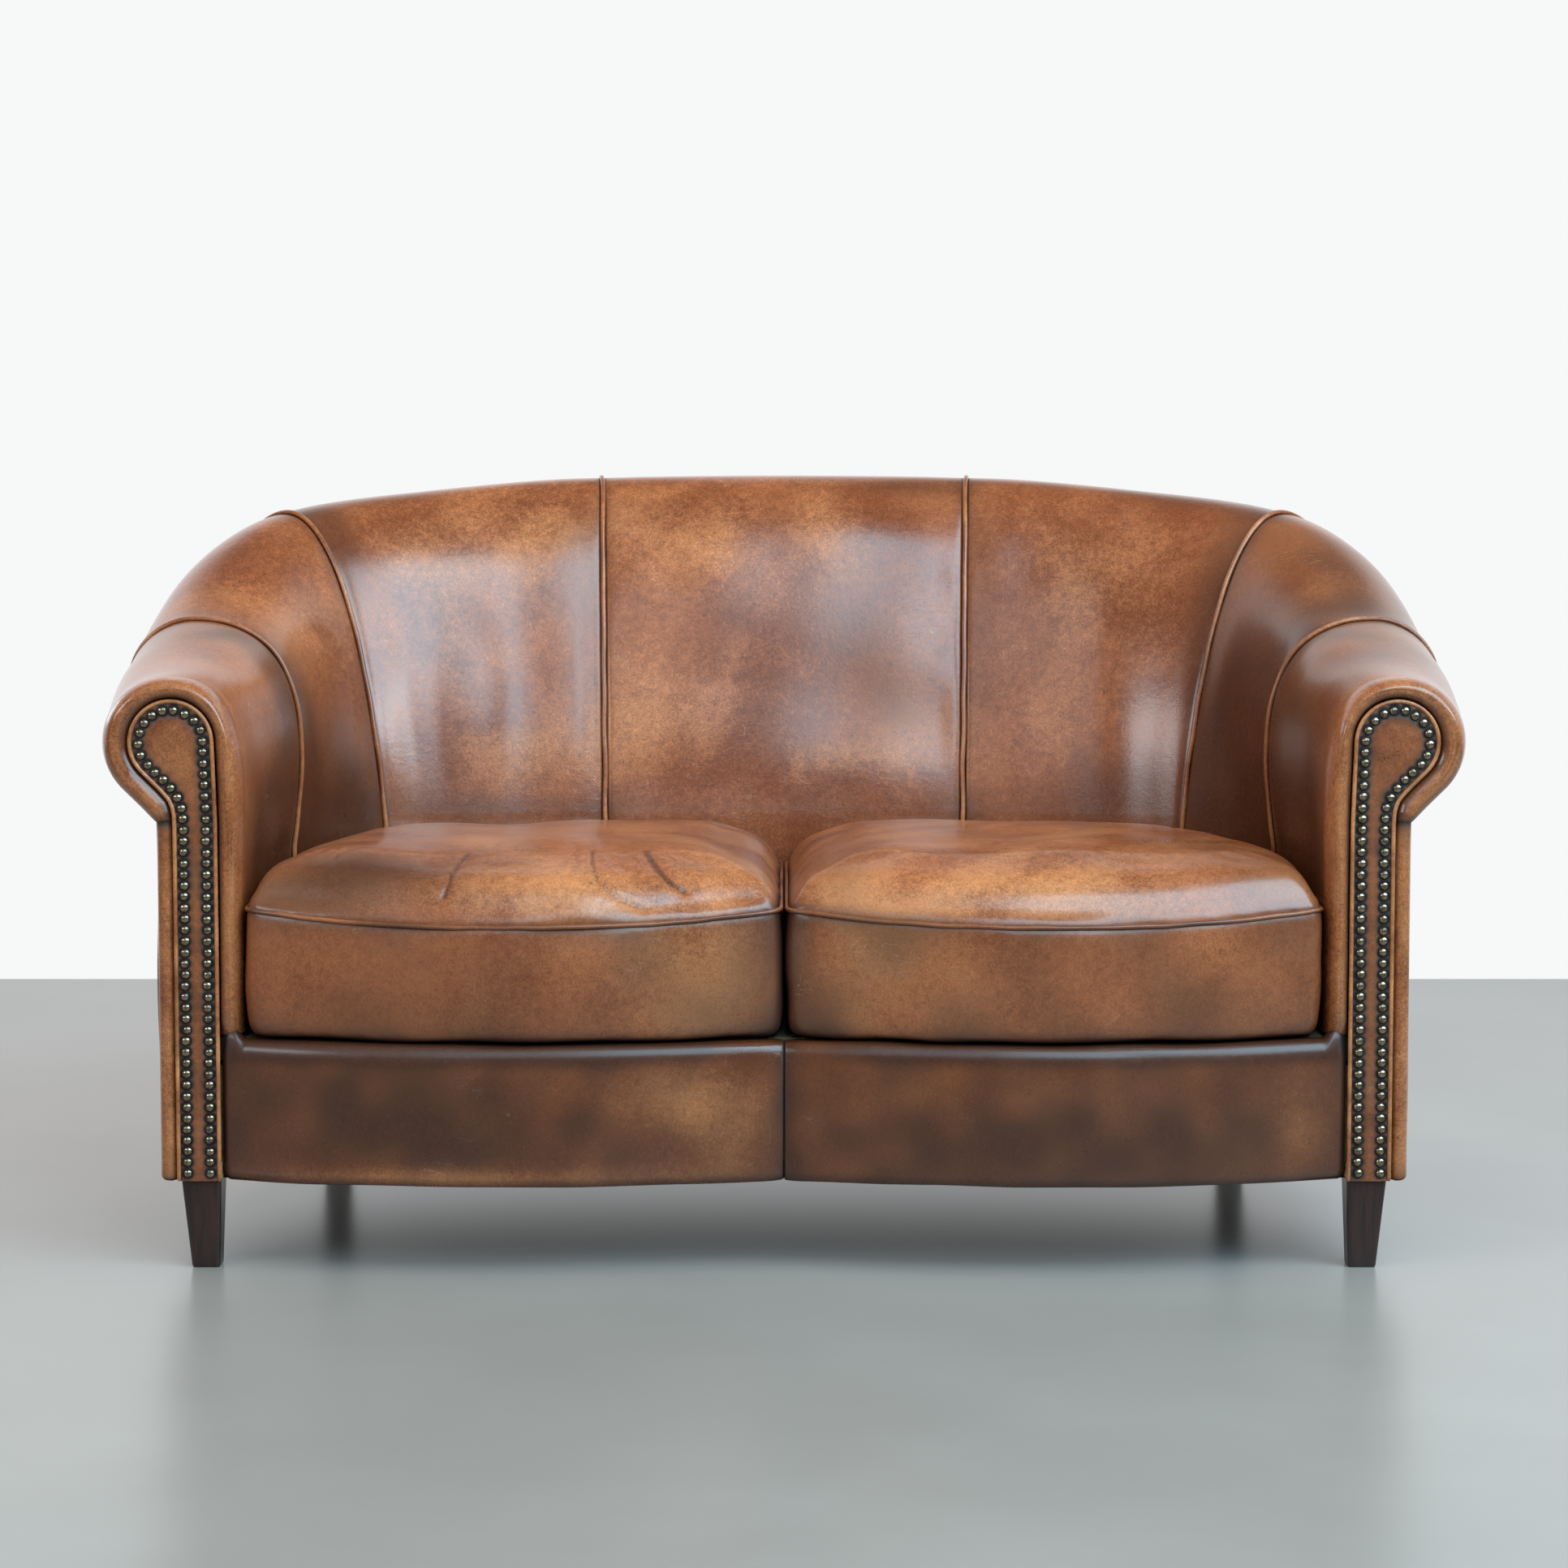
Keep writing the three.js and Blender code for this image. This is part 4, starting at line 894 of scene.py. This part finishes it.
def addFacing(side, seed):
    places = nailPlaces()
    top = facing["headZ"] + facing["head"] - 0.0004
    z = np.r_[np.linspace(facing["bottom"], facing["headZ"], 300),
              facing["headZ"] + (top - facing["headZ"]) * np.sin(np.linspace(0, np.pi / 2, 40))[1:]]
    left, right = facingWidth(z)
    u = np.linspace(0, 1, 34)[None]
    x = left[:, None] + (right - left)[:, None] * u
    height = z[:, None] + 0 * x
    away = np.sqrt(((x[..., None] - places[:, 0]) ** 2 + (height[..., None] - places[:, 1]) ** 2).min(axis=-1))
    edge = np.minimum(np.minimum(x - left[:, None], right[:, None] - x), top - height)
    dome = facing["dome"] * (1 - fading(edge, 0.006)) - 0.0007 * bell(away - nails["radius"], 0.0022)
    dome = dome + 0.0004 * ripple(x, height, 0.04, seed)
    face = table(x, frontY + facing["faceD"] - dome, height)
    back = face.copy()
    back[..., 1] = frontY + facing["backD"]
    patchy = patches(x, height, 0.05, seed + 1)
    # a dark ring round each nail, grime and painted shade at the heads' rims; near black along the edge under
    # the welt, painted shade
    masks = {
        "dirtAndShade": 0.95 * bell(away - 0.0044, 0.0036) + 0.9 * fading(edge, 0.0028),
        "burnishAndShade": 0.95 * fading(np.clip(away - 0.0050, 0, 1), 0.0045) + 0.25 * ease(patchy, 0.55, 1.0)
                   + (0.25 if side == "right" else 0.18),
        "rubAndLight": 0.18 + 0.12 * patchy,
        "crumple": 0.1 * patchy,
    }
    made = addShell(f"armFacing_{side}", face, back, side, "facing", masks)
    settle(made, [f"arm_facing_{side}"])

    line = facingPath(0, facing["cordStep"])
    path = table(line[:, 0], frontY + facing["weltD"], line[:, 1])
    ahead = headings(line)
    across = table(ahead[:, 1], 0, -ahead[:, 0])
    rings = cord(path, across, np.array([0.0, -1, 0]) + 0 * path, facing["cord"], facing["cordSides"])
    points, quads = loft(rings)
    along = np.repeat(np.arange(len(line)) * facing["cordStep"], facing["cordSides"])
    masks = {"rubAndLight": np.r_[0.60 + 0.2 * ripple(along, 0, 0.05, seed), 0, 0],
             "burnishAndShade": np.r_[0.15 + 0.2 * ripple(along, 0, 0.08, seed + 4), 0, 0]}
    made = addMesh(f"facingWelt_{side}", turned(points, side), quads, "piping", masks)
    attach(made, "root")

    # nails: five rings and a tip, set to the facing's face, each a little moved, sized and sunk by its own
    # amount
    draw = np.random.default_rng(seed)
    profile = np.array([[1, -0.25], [1, 0.12], [0.9, 0.46], [0.66, 0.78], [0.34, 0.96]])
    angle = np.linspace(0, 2 * np.pi, nails["sides"], endpoint=False)
    jitter = draw.normal(0, nails["wobble"], (len(places), 2))
    size = draw.uniform(*nails["sizes"], len(places))[:, None, None]
    middle, reach = (places + jitter)[:, None, None], size * nails["radius"] * profile[:, 0][None, :, None]
    ringX, ringZ = middle[..., 0] + reach * np.cos(angle), middle[..., 1] + reach * np.sin(angle)
    base = frontY + facing["faceD"] - facing["dome"] * 0.75
    ringY = base - size * nails["height"] * profile[:, 1][None, :, None]
    rings = table(ringX, ringY, ringZ)
    parts = [loft(one) for one in rings]
    tip = np.array([0, -nails["height"] * nails["tip"], 0])
    points = np.concatenate([np.concatenate([p[:-1], p[-1:] + tip]) for p, _ in parts])
    offset = len(parts[0][0])
    quads = np.concatenate([q + i * offset for i, (_, q) in enumerate(parts)])
    made = addMesh(f"nails_{side}", turned(points, side), quads, "nail", sharp=80)
    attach(made, "root")
    return len(places)


counts = [addFacing("left", 200), addFacing("right", 220)]
print("nails:", counts)

# ---- front rail's cover ----
rail = {"end": 0.6245, "top": 0.2565, "back": 0.0155, "bottom": 0.0985, "lobe": 0.3, "out": 0.057,
        "middle": 0.015, "thick": 0.0025, "ear": 0.013}


def railSwell(u):
    near = rail["middle"] + (rail["out"] - rail["middle"]) * (1 - (1 - np.clip(u / rail["lobe"], 0, 1)) ** 1.8)
    far = rail["out"] * (1 - np.clip((u - rail["lobe"]) / (rail["end"] - rail["lobe"]), 0, 1) ** 2.3)
    return np.where(u < rail["lobe"], near, far)


def addRail(side, seed):
    # Rows along the rail; in each a line from the top's back edge, over the front and under, rounded by
    # cutting its corners four times.
    u = np.r_[0.0002, denseEnds(0.0010, rail["end"], 0.005, 0.7)]
    front = -railSwell(u)
    top, bottom = rail["top"] + rail["ear"] * ease(u, 0.598, 0.612), rail["bottom"] + 0 * u
    back = rail["back"] + 0 * u
    line = [(back, top), (back - 0.006, top), (front + 0.012, top), (front + 0.004, top - 0.004),
            (front, top - 0.018), (front - 0.0015, (top + bottom) / 2), (front, bottom + 0.016),
            (front + 0.003, bottom + 0.005), (front + 0.010, bottom), (back, bottom)]
    line = np.stack([np.stack(p, axis=-1) for p in line], axis=1)
    for _ in range(4):
        before, after = line[:, :-1], line[:, 1:]
        middle = np.stack([0.75 * before + 0.25 * after, 0.25 * before + 0.75 * after], axis=2)
        line = np.concatenate([line[:, :1], middle.reshape(len(u), -1, 2), line[:, -1:]], axis=1)
    step = np.gradient(line, axis=1)
    size = np.hypot(step[..., 0], step[..., 1])[..., None]
    normal = np.concatenate([step[..., 1:], -step[..., :1]], axis=-1) / size
    x, z = u[:, None] + 0 * line[..., 0], line[..., 1]
    seamGap, endGap = u[:, None], (rail["end"] - u)[:, None]
    rise = -0.0016 * bell(seamGap, 0.0012) - 0.0012 * bell(seamGap, 0.010) + 0.0008 * ripple(x, z, 0.15, seed)
    rise = rise - 0.004 * bell(endGap, 0.004)
    face2, back2 = line + normal * rise[..., None], line + normal * (rise - rail["thick"])[..., None]
    grid = lambda flat: table(-x, frontY + flat[..., 0], flat[..., 1])
    patchy = patches(x, z, 0.07, seed + 1)
    dark = {"left": [(0.40, 0.170, 0.10, 0.045, 0.55), (0.33, 0.155, 0.18, 0.035, 0.35),
                     (0.50, 0.195, 0.07, 0.04, 0.25)],
            "right": [(0.34, 0.150, 0.20, 0.042, 0.60), (0.20, 0.150, 0.07, 0.03, 0.3),
                      (0.52, 0.20, 0.06, 0.04, 0.2)]}
    pale = {"left": [(0.11, 0.20, 0.08, 0.04, 0.55), (0.06, 0.15, 0.06, 0.05, 0.35),
                     (0.26, 0.11, 0.20, 0.016, 0.45), (0.46, 0.11, 0.16, 0.014, 0.45)],
            "right": [(0.12, 0.20, 0.08, 0.03, 0.15), (0.58, 0.17, 0.05, 0.06, 0.4),
                      (0.30, 0.20, 0.12, 0.02, 0.15)]}
    # the dark and pale spots are the cover's own mottling; the darkening along the top lip under the cushion,
    # at the ends by the arms, at the middle seam and along the bottom edge is painted shade
    masks = {
        "burnishAndShade": 0.42 * spots(x, z, dark[side]) + 0.80 + 0.16 * (patchy - 0.5) + 0.4 * fading(seamGap, 0.012)
                   + 0.4 * fading(endGap, 0.02) + 0.25 * fading(z - rail["bottom"], 0.008)
                   + 0.55 * ease(z, 0.225, 0.252) * ease(x, 0.02, 0.10) - spots(x, z, pale[side]) * 0.5,
        "rubAndLight": spots(x, z, pale[side]),
        "dirtAndShade": 0.8 * bell(seamGap, 0.0025) + 0.8 * bell(endGap, 0.006)
                + 0.35 * ease(z, 0.238, 0.254) * ease(x, 0.02, 0.10),
        "crumple": 0.25 * ease(patchy, 0.7, 1.1),
    }
    made = addShell(f"railCover_{side}", grid(face2), grid(back2), side, "tub", masks)
    nodes = [f"rail_cover_{side}"] + (["rail_foam"] if side == "left" else [])
    settle(made, nodes)


addRail("left", 300)
addRail("right", 310)
print("rail covers: 2")

# ---- seat cushions ----
cushion = {"bottom": 0.2585, "seam": 0.1435, "sag": 0.0145, "crown": 0.205, "clearance": 0.0050,
           "inner": -0.0030, "middle": (-0.297, 0.255), "halfWidth": 0.297, "shrink": 0.998,
           "voxel": 0.0075, "frames": 20, "cap": 0.004,
           "piping": 0.0026, "pipingStep": 0.0096, "pipingSides": 12}
air = {"pressure": 3.2, "quality": 5, "tension": 15, "compression": 8, "bending": 1.0, "hold": 2.0, "mass": 0.4}


def cushionOutline():
    # The wall side follows the tub's inner face, the front bows forward by a sine; corners are rounded by a
    # running mean over the closed line. Returns x and d, evenly spaced.
    run = np.linspace(0, halfRun, 500)
    x, d, headX, headD = ridgeAt(run)
    depth = sectionAt(run)[4] + cushion["clearance"]
    wallX, wallD = np.minimum(x + headD * depth, cushion["inner"]), d - headX * depth
    frontX = np.linspace(cushion["inner"], wallX[0], 300)
    across = np.clip((frontX - cushion["inner"]) / (wallX[0] - cushion["inner"]), 0, 1)
    bow = -0.05 * np.sin(np.pi * across) ** 0.8 - 0.002
    sideD = np.linspace(wallD[-1], bow[0], 200)[1:]
    line = np.concatenate([table(wallX, wallD), table(cushion["inner"], sideD), table(frontX, bow)[1:-1]])
    closed = np.concatenate([line, line[:1]])
    x, d = pointsAlong(closed, np.linspace(0, lengths(closed)[-1], 480, endpoint=False)).T
    window = np.hanning(13)
    window /= window.sum()
    smooth = lambda v: np.convolve(np.r_[v[-6:], v, v[:6]], window, "valid")
    return smooth(x), smooth(d)


def seamHeight(x, d):
    # The top seam hangs lower towards the middle of the front edge.
    middleX = cushion["middle"][0]
    share = np.clip(np.abs(x - middleX) / cushion["halfWidth"], 0, 1)
    forward = 1 - ease(d, -0.03, 0.06)
    return cushion["bottom"] + cushion["seam"] - cushion["sag"] * (1 - share ** 2.4) * forward


def seamLine(shift=0):
    x, d = cushionOutline()
    return table(x, d + shift, seamHeight(x, d))


def cushionRings():
    # Rings from the underside up the boxing to the seam, then a steep side that rounds over to a flat top;
    # at the outer end the side is gentler.
    x, d = cushionOutline()
    middleX, middleD = cushion["middle"]
    seam = seamHeight(x, d)
    low = cushion["bottom"]
    rings = []
    for share, level in ((0.5, 0), (0.93, 0), (0.975, 0.010), (0.993, 0.045),
                         (1.001, 0.16), (1.008, 0.45), (1.007, 0.75), (1.001, 1)):
        rings.append((share + 0 * x, low + level * (seam - low)))
    gentle = ease(-x, 0.40, 0.56)
    for share, steep, soft in ((0.992, 0.12, 0.15), (0.98, 0.26, 0.31), (0.966, 0.39, 0.47),
                               (0.949, 0.51, 0.60), (0.929, 0.61, 0.71), (0.90, 0.70, 0.80),
                               (0.86, 0.78, 0.87), (0.80, 0.85, 0.925), (0.70, 0.915, 0.965),
                               (0.58, 0.96, 0.985), (0.44, 0.985, 0.995), (0.28, 0.997, 1), (0.1, 1, 1)):
        rings.append((share + 0 * x,
                      seam + (low + cushion["crown"] - seam) * (steep + (soft - steep) * gentle)))
    small = cushion["shrink"]
    return np.stack([table(middleX + (x - middleX) * share * small,
                           frontY + middleD + (d - middleD) * share * small, z) for share, z in rings])


# Deep creases on the front slope of the left cushion: points of x and height, width, strength.
creases = [
    ([(-0.333, 0.478), (-0.351, 0.466), (-0.363, 0.449), (-0.369, 0.429), (-0.373, 0.419)], 0.0034, 1.0),
    ([(-0.230, 0.482), (-0.216, 0.470), (-0.212, 0.449), (-0.202, 0.429), (-0.178, 0.415), (-0.154, 0.405)],
     0.0032, 0.9),
    ([(-0.244, 0.474), (-0.234, 0.462), (-0.226, 0.446), (-0.223, 0.429)], 0.0026, 0.75),
    ([(-0.178, 0.482), (-0.162, 0.470), (-0.144, 0.449), (-0.129, 0.436), (-0.110, 0.424)], 0.0038, 1.0),
    ([(-0.096, 0.474), (-0.092, 0.459), (-0.086, 0.442)], 0.0018, 0.7),
    ([(-0.198, 0.458), (-0.178, 0.446), (-0.162, 0.440)], 0.0016, 0.55),
    ([(-0.440, 0.480), (-0.450, 0.460), (-0.453, 0.446)], 0.0022, 0.45),
    ([(-0.500, 0.466), (-0.501, 0.449)], 0.0016, 0.4),
    ([(-0.337, 0.446), (-0.331, 0.436)], 0.0016, 0.45),
    ([(-0.130, 0.462), (-0.116, 0.452), (-0.104, 0.438)], 0.0014, 0.4),
]


def creaseField(x, z):
    # Nearness to the closest crease, 1 on it and 0 at 12 mm, and the depth of a soft groove along it.
    near, depth = 0 * x, 0 * x
    for places, width, strength in creases:
        places = np.array(places)
        at = np.linspace(0, len(places) - 1, 30)
        line = np.stack([np.interp(at, np.arange(len(places)), column) for column in places.T], axis=1)
        away = np.sqrt(((x[:, None] - line[:, 0]) ** 2 + (z[:, None] - line[:, 1]) ** 2).min(axis=1))
        near = np.maximum(near, strength * (1 - np.clip((away - width * 0.3) / 0.010, 0, 1)))
        depth = np.maximum(depth, strength * bell(away, width * 1.3))
    return near, depth


def freshCopy(piece):
    # The piece's shape with all its modifiers worked in, as a new mesh.
    bpy.context.view_layer.update()
    graph = bpy.context.evaluated_depsgraph_get()
    return bpy.data.meshes.new_from_object(piece.evaluated_get(graph), depsgraph=graph)


def pointsOf(mesh, layer="co"):
    values = np.empty(len(mesh.vertices) * 3)
    mesh.vertices.foreach_get(layer, values)
    return values.reshape(-1, 3)


def inflate(piece):
    # Air pressure swells the cloth; the top seam and the underside hold; no point moves past the cap.
    start = pointsOf(piece.data)
    seam = seamHeight(start[:, 0], start[:, 1] - frontY)
    held = np.maximum(1 - ease(start[:, 2], cushion["bottom"] + 0.004, cushion["bottom"] + 0.03), 0)
    line = seamLine(frontY)
    for part in np.array_split(np.arange(len(start)), 12):
        gap = np.sqrt(((start[part, None] - line[None]) ** 2).sum(-1)).min(axis=1)
        held[part] = np.maximum(held[part], 0.9 * bell(gap, 0.011))
    group = piece.vertex_groups.new(name="held")
    for level in range(1, 11):
        group.add(np.flatnonzero(np.round(held * 10) == level).tolist(), level / 10, "REPLACE")
    cloth = piece.modifiers.new("cloth", "CLOTH")
    setup = cloth.settings
    setup.vertex_group_mass, setup.use_pressure, setup.uniform_pressure_force = "held", True, air["pressure"]
    setup.effector_weights.gravity, setup.quality = 0, air["quality"]
    setup.tension_stiffness, setup.compression_stiffness = air["tension"], air["compression"]
    setup.bending_stiffness, setup.pin_stiffness, setup.mass = air["bending"], air["hold"], air["mass"]
    cloth.collision_settings.use_collision = False
    scene = bpy.context.scene
    for frameNumber in range(1, cushion["frames"] + 1):
        scene.frame_set(frameNumber)
    swollen = pointsOf(freshCopy(piece))
    scene.frame_set(1)
    piece.modifiers.remove(cloth)
    move = swollen - start
    length = np.linalg.norm(move, axis=1)[:, None]
    move = move * np.tanh(length / cushion["cap"]) * cushion["cap"] / np.maximum(length, 1e-6)
    piece.data.vertices.foreach_set("co", (start + move).astype(np.float32).ravel())
    piece.data.update()


def addCushion(side, seed):
    points, quads = loft(cushionRings())
    rough = addMesh("roughCushion", points, quads, "seat")
    remesh = rough.modifiers.new("remesh", "REMESH")
    remesh.mode, remesh.voxel_size = "VOXEL", cushion["voxel"]
    base = place("base", freshCopy(rough))
    bpy.data.objects.remove(rough)
    inflate(base)
    soften = base.modifiers.new("soften", "SMOOTH")
    soften.iterations, soften.factor = 2, 0.5
    finer = base.modifiers.new("finer", "SUBSURF")
    finer.levels = finer.render_levels = 1
    mesh = freshCopy(base)
    bpy.data.objects.remove(base)
    mesh.name = f"seatCushion_{side}"
    points, normals = pointsOf(mesh), pointsOf(mesh, "normal")
    x, d, z = points[:, 0], points[:, 1] - frontY, points[:, 2]
    seam = seamHeight(x, d)
    # distance to the seam line: off the outline across and off the seam's height
    ring, here = seamLine(), table(x, d, z)
    nearest = np.concatenate([((part[:, None] - ring[None]) ** 2).sum(-1).argmin(axis=1)
                              for part in np.array_split(here, 60)])
    toSeam = ring[nearest] - here
    gap = np.linalg.norm(toSeam, axis=1)
    # the stitches draw the leather out to the seam
    points = points + toSeam * (0.6 * bell(gap, 0.006))[:, None]
    x, d, z = points[:, 0], points[:, 1] - frontY, points[:, 2]
    onTop = ease(z, seam, seam + 0.02)
    rise = -0.0022 * bell(gap, 0.005)
    blots = {"left": [(-0.36, 0.02, 0.06, 0.07, 0.9), (-0.18, 0.03, 0.10, 0.08, 1.0),
                      (-0.45, 0.0, 0.05, 0.05, 0.5)],
             "right": [(-0.2, 0.3, 0.1, 0.1, 0.25)]}[side]
    crumple = spots(x, d, blots) * onTop
    stroke, strokeDepth = creaseField(x, z) if side == "left" else (0 * x, 0 * x)
    front = onTop * (1 - ease(d, 0.05, 0.12))
    stroke, strokeDepth = stroke * front, strokeDepth * front
    rise = rise - 0.0020 * strokeDepth + 0.0005 * crumple * ripple(x + 0.4 * z, 0.5 * z, 0.055, seed + 4)
    rise = rise + 0.0016 * ripple(x, d, 0.17, seed) * onTop
    rise = rise + 0.0010 * ripple(x + d, z, 0.10, seed + 1) * (1 - onTop)
    points = points + normals * rise[:, None]
    points[:, 0] = np.minimum(points[:, 0], -0.0012)
    points[:, 2] = np.maximum(points[:, 2], cushion["bottom"] - 0.001)
    mesh.vertices.foreach_set("co", turned(points, side).astype(np.float32).ravel())
    if side == "right":
        mesh.flip_normals()
    patchy = patches(x + d, z - 0.5 * d, 0.11, seed + 2)
    level = (z - cushion["bottom"]) / np.maximum(seam - cushion["bottom"], 0.01)
    boxing = 1 - onTop
    centreGap = np.exp((x + 0.006) / 0.03) * boxing
    burnt = {"left": [(-0.50, 0.01, 0.10, 0.05, 0.7), (-0.40, 0.0, 0.09, 0.035, 0.5),
                      (-0.30, 0.35, 0.2, 0.1, 0.2)],
             "right": [(-0.52, 0.03, 0.08, 0.08, 0.45), (-0.06, 0.06, 0.05, 0.08, 0.4)]}[side]
    rubbed = [(-0.25, -0.02, 0.12, 0.03, 0.35), (-0.08, -0.03, 0.07, 0.05, 0.4)]
    # the boxing darker than the top, and darkest at its foot over the rail, in the gap between the cushions and
    # beside the piping: painted shade; the burnt and rubbed spots on the top are the leather's own wear; the
    # top's even lightening is partly painted light
    masks = {
        "burnishAndShade": boxing * (0.22 + 0.3 * patchy + 0.5 * fading(level, 0.10)) + 0.6 * centreGap
                   + 0.30 * fading(gap, 0.010) + onTop * (0.22 * patchy + spots(x, d, burnt)),
        "rubAndLight": onTop * (0.15 + 0.3 * patchy) + boxing * 0.2 * patchy + spots(x, d, rubbed),
        "dirtAndShade": 0.85 * bell(level, 0.05) * boxing + 0.5 * bell(gap, 0.004)
                + 0.5 * np.exp((x + 0.004) / 0.010) * boxing,
        "crumple": 0.8 * crumple + 0.12 * ease(patchy, 0.8, 1.1),
        "stroke": stroke,
    }
    storeMasks(mesh, masks)
    mesh.polygons.foreach_set("use_smooth", np.ones(len(mesh.polygons), bool))
    mesh.materials.clear()
    mesh.materials.append(looks["seat"])
    made = place(f"seatCushion_{side}", mesh)
    settle(made, [f"cushion_cover_{side}", f"cushion_foam_{side}"])
    addPiping(side, seed)


def addPiping(side, seed):
    # The cushion's piping: a closed cord along the top seam.
    x, d = cushionOutline()
    middleX, middleD = cushion["middle"]
    x, d = middleX + (x - middleX) * 0.999, middleD + (d - middleD) * 0.999
    path = table(x, frontY + d, seamHeight(x, d) + 0.0004 * ripple(x, d, 0.06, seed))
    path = path[::2]
    ahead = np.roll(path, -1, axis=0) - np.roll(path, 1, axis=0)
    ahead /= np.linalg.norm(ahead, axis=1)[:, None]
    across = np.cross(ahead, [0, 0, 1.0])
    across /= np.linalg.norm(across, axis=1)[:, None]
    up = np.cross(across, ahead)
    sides = cushion["pipingSides"]
    angle = np.linspace(0, 2 * np.pi, sides, endpoint=False)[None, :, None]
    rings = path[:, None] + cushion["piping"] * (np.cos(angle) * across[:, None] + np.sin(angle) * up[:, None])
    index = np.arange(rings.shape[0] * sides).reshape(-1, sides)
    index = np.concatenate([index, index[:1]])
    quads = patch(np.concatenate([index, index[:, :1]], axis=1))
    spread = np.repeat(np.arange(len(path)) * cushion["pipingStep"], sides)
    masks = {"rubAndLight": 0.05 + 0.15 * ripple(spread, 0, 0.10, seed),
             "burnishAndShade": 0.55 + 0.25 * ripple(spread, 0, 0.13, seed + 1)}
    made = addMesh(f"cushionPiping_{side}", turned(rings.reshape(-1, 3), side), quads, "piping", masks)
    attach(made, "root")


addCushion("left", 400)
addCushion("right", 430)
print("seat cushions: 2")

# ---- legs ----
legs = {
    # top and foot: low and high x, low and high d
    "front": {"top": (0.627, 0.6715, 0.0, 0.045), "foot": (0.6295, 0.6605, 0.001, 0.031)},
    "back": {"top": (0.5475, 0.5875, 0.5435, 0.5885), "foot": (0.551, 0.582, 0.556, 0.587)},
    "height": 0.0982, "round": 12,
}


def addLegs():
    # Each section is a rounded square, |u|^n + |v|^n = 1 with n = 12, between the foot's and the top's corners.
    angle = np.linspace(0, 2 * np.pi, 64, endpoint=False) + np.pi / 64
    power = legs["round"]
    reach = (np.abs(np.cos(angle)) ** power + np.abs(np.sin(angle)) ** power) ** (-1 / power)
    u, v = reach * np.cos(angle), reach * np.sin(angle)
    levels = np.array([[0, 0.93], [0.0012, 0.975], [0.003, 1], [0.03, 1], [0.06, 1], [0.0965, 1],
                       [0.0982, 0.985]])
    for end in ("front", "back"):
        for side in ("left", "right"):
            share = levels[:, :1] / legs["height"]
            low = np.array(legs[end]["foot"])[None] * (1 - share) + np.array(legs[end]["top"])[None] * share
            middleX, middleD = (low[:, 0] + low[:, 1]) / 2, (low[:, 2] + low[:, 3]) / 2
            halfX = (low[:, 1] - low[:, 0]) / 2 * levels[:, 1]
            halfD = (low[:, 3] - low[:, 2]) / 2 * levels[:, 1]
            rings = table(-(middleX[:, None] + halfX[:, None] * u),
                          frontY + middleD[:, None] + halfD[:, None] * v, levels[:, :1])
            points, quads = loft(rings)
            made = addMesh(f"taperedLeg_{end}_{side}", turned(points, side), quads, "leg", sharp=40)
            settle(made, [f"leg_{end}_{side}"])
    print("legs: 4")


addLegs()

# ---- the frame's own pieces keep their shapes and get their materials ----
bare = {
    "frame": ("corner_block_", "side_rail_", "corner_rail_", "back_rail", "front_rail", "arm_front_board_",
              "arm_top_rail_", "back_top_rail", "back_post_"),
    "bolt": ("leg_bolt_",), "spring": ("seat_spring_",), "deck": ("seat_deck",), "dust": ("dust_cover",),
    "foam": ("arm_foam_", "back_foam", "rail_foam", "cushion_foam_"), "leg": ("leg_front_", "leg_back_"),
    "piping": ("arm_welt_", "corner_welt_", "back_welt_"), "facing": ("arm_facing_",),
    "tub": ("arm_panel_", "corner_panel_", "back_panel_", "outer_", "rail_cover_"), "seat": ("cushion_cover_",),
}
for node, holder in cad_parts.items():
    finish = next(key for key, starts in bare.items() if node.startswith(starts))
    holder.data.materials.clear()
    holder.data.materials.append(looks[finish])
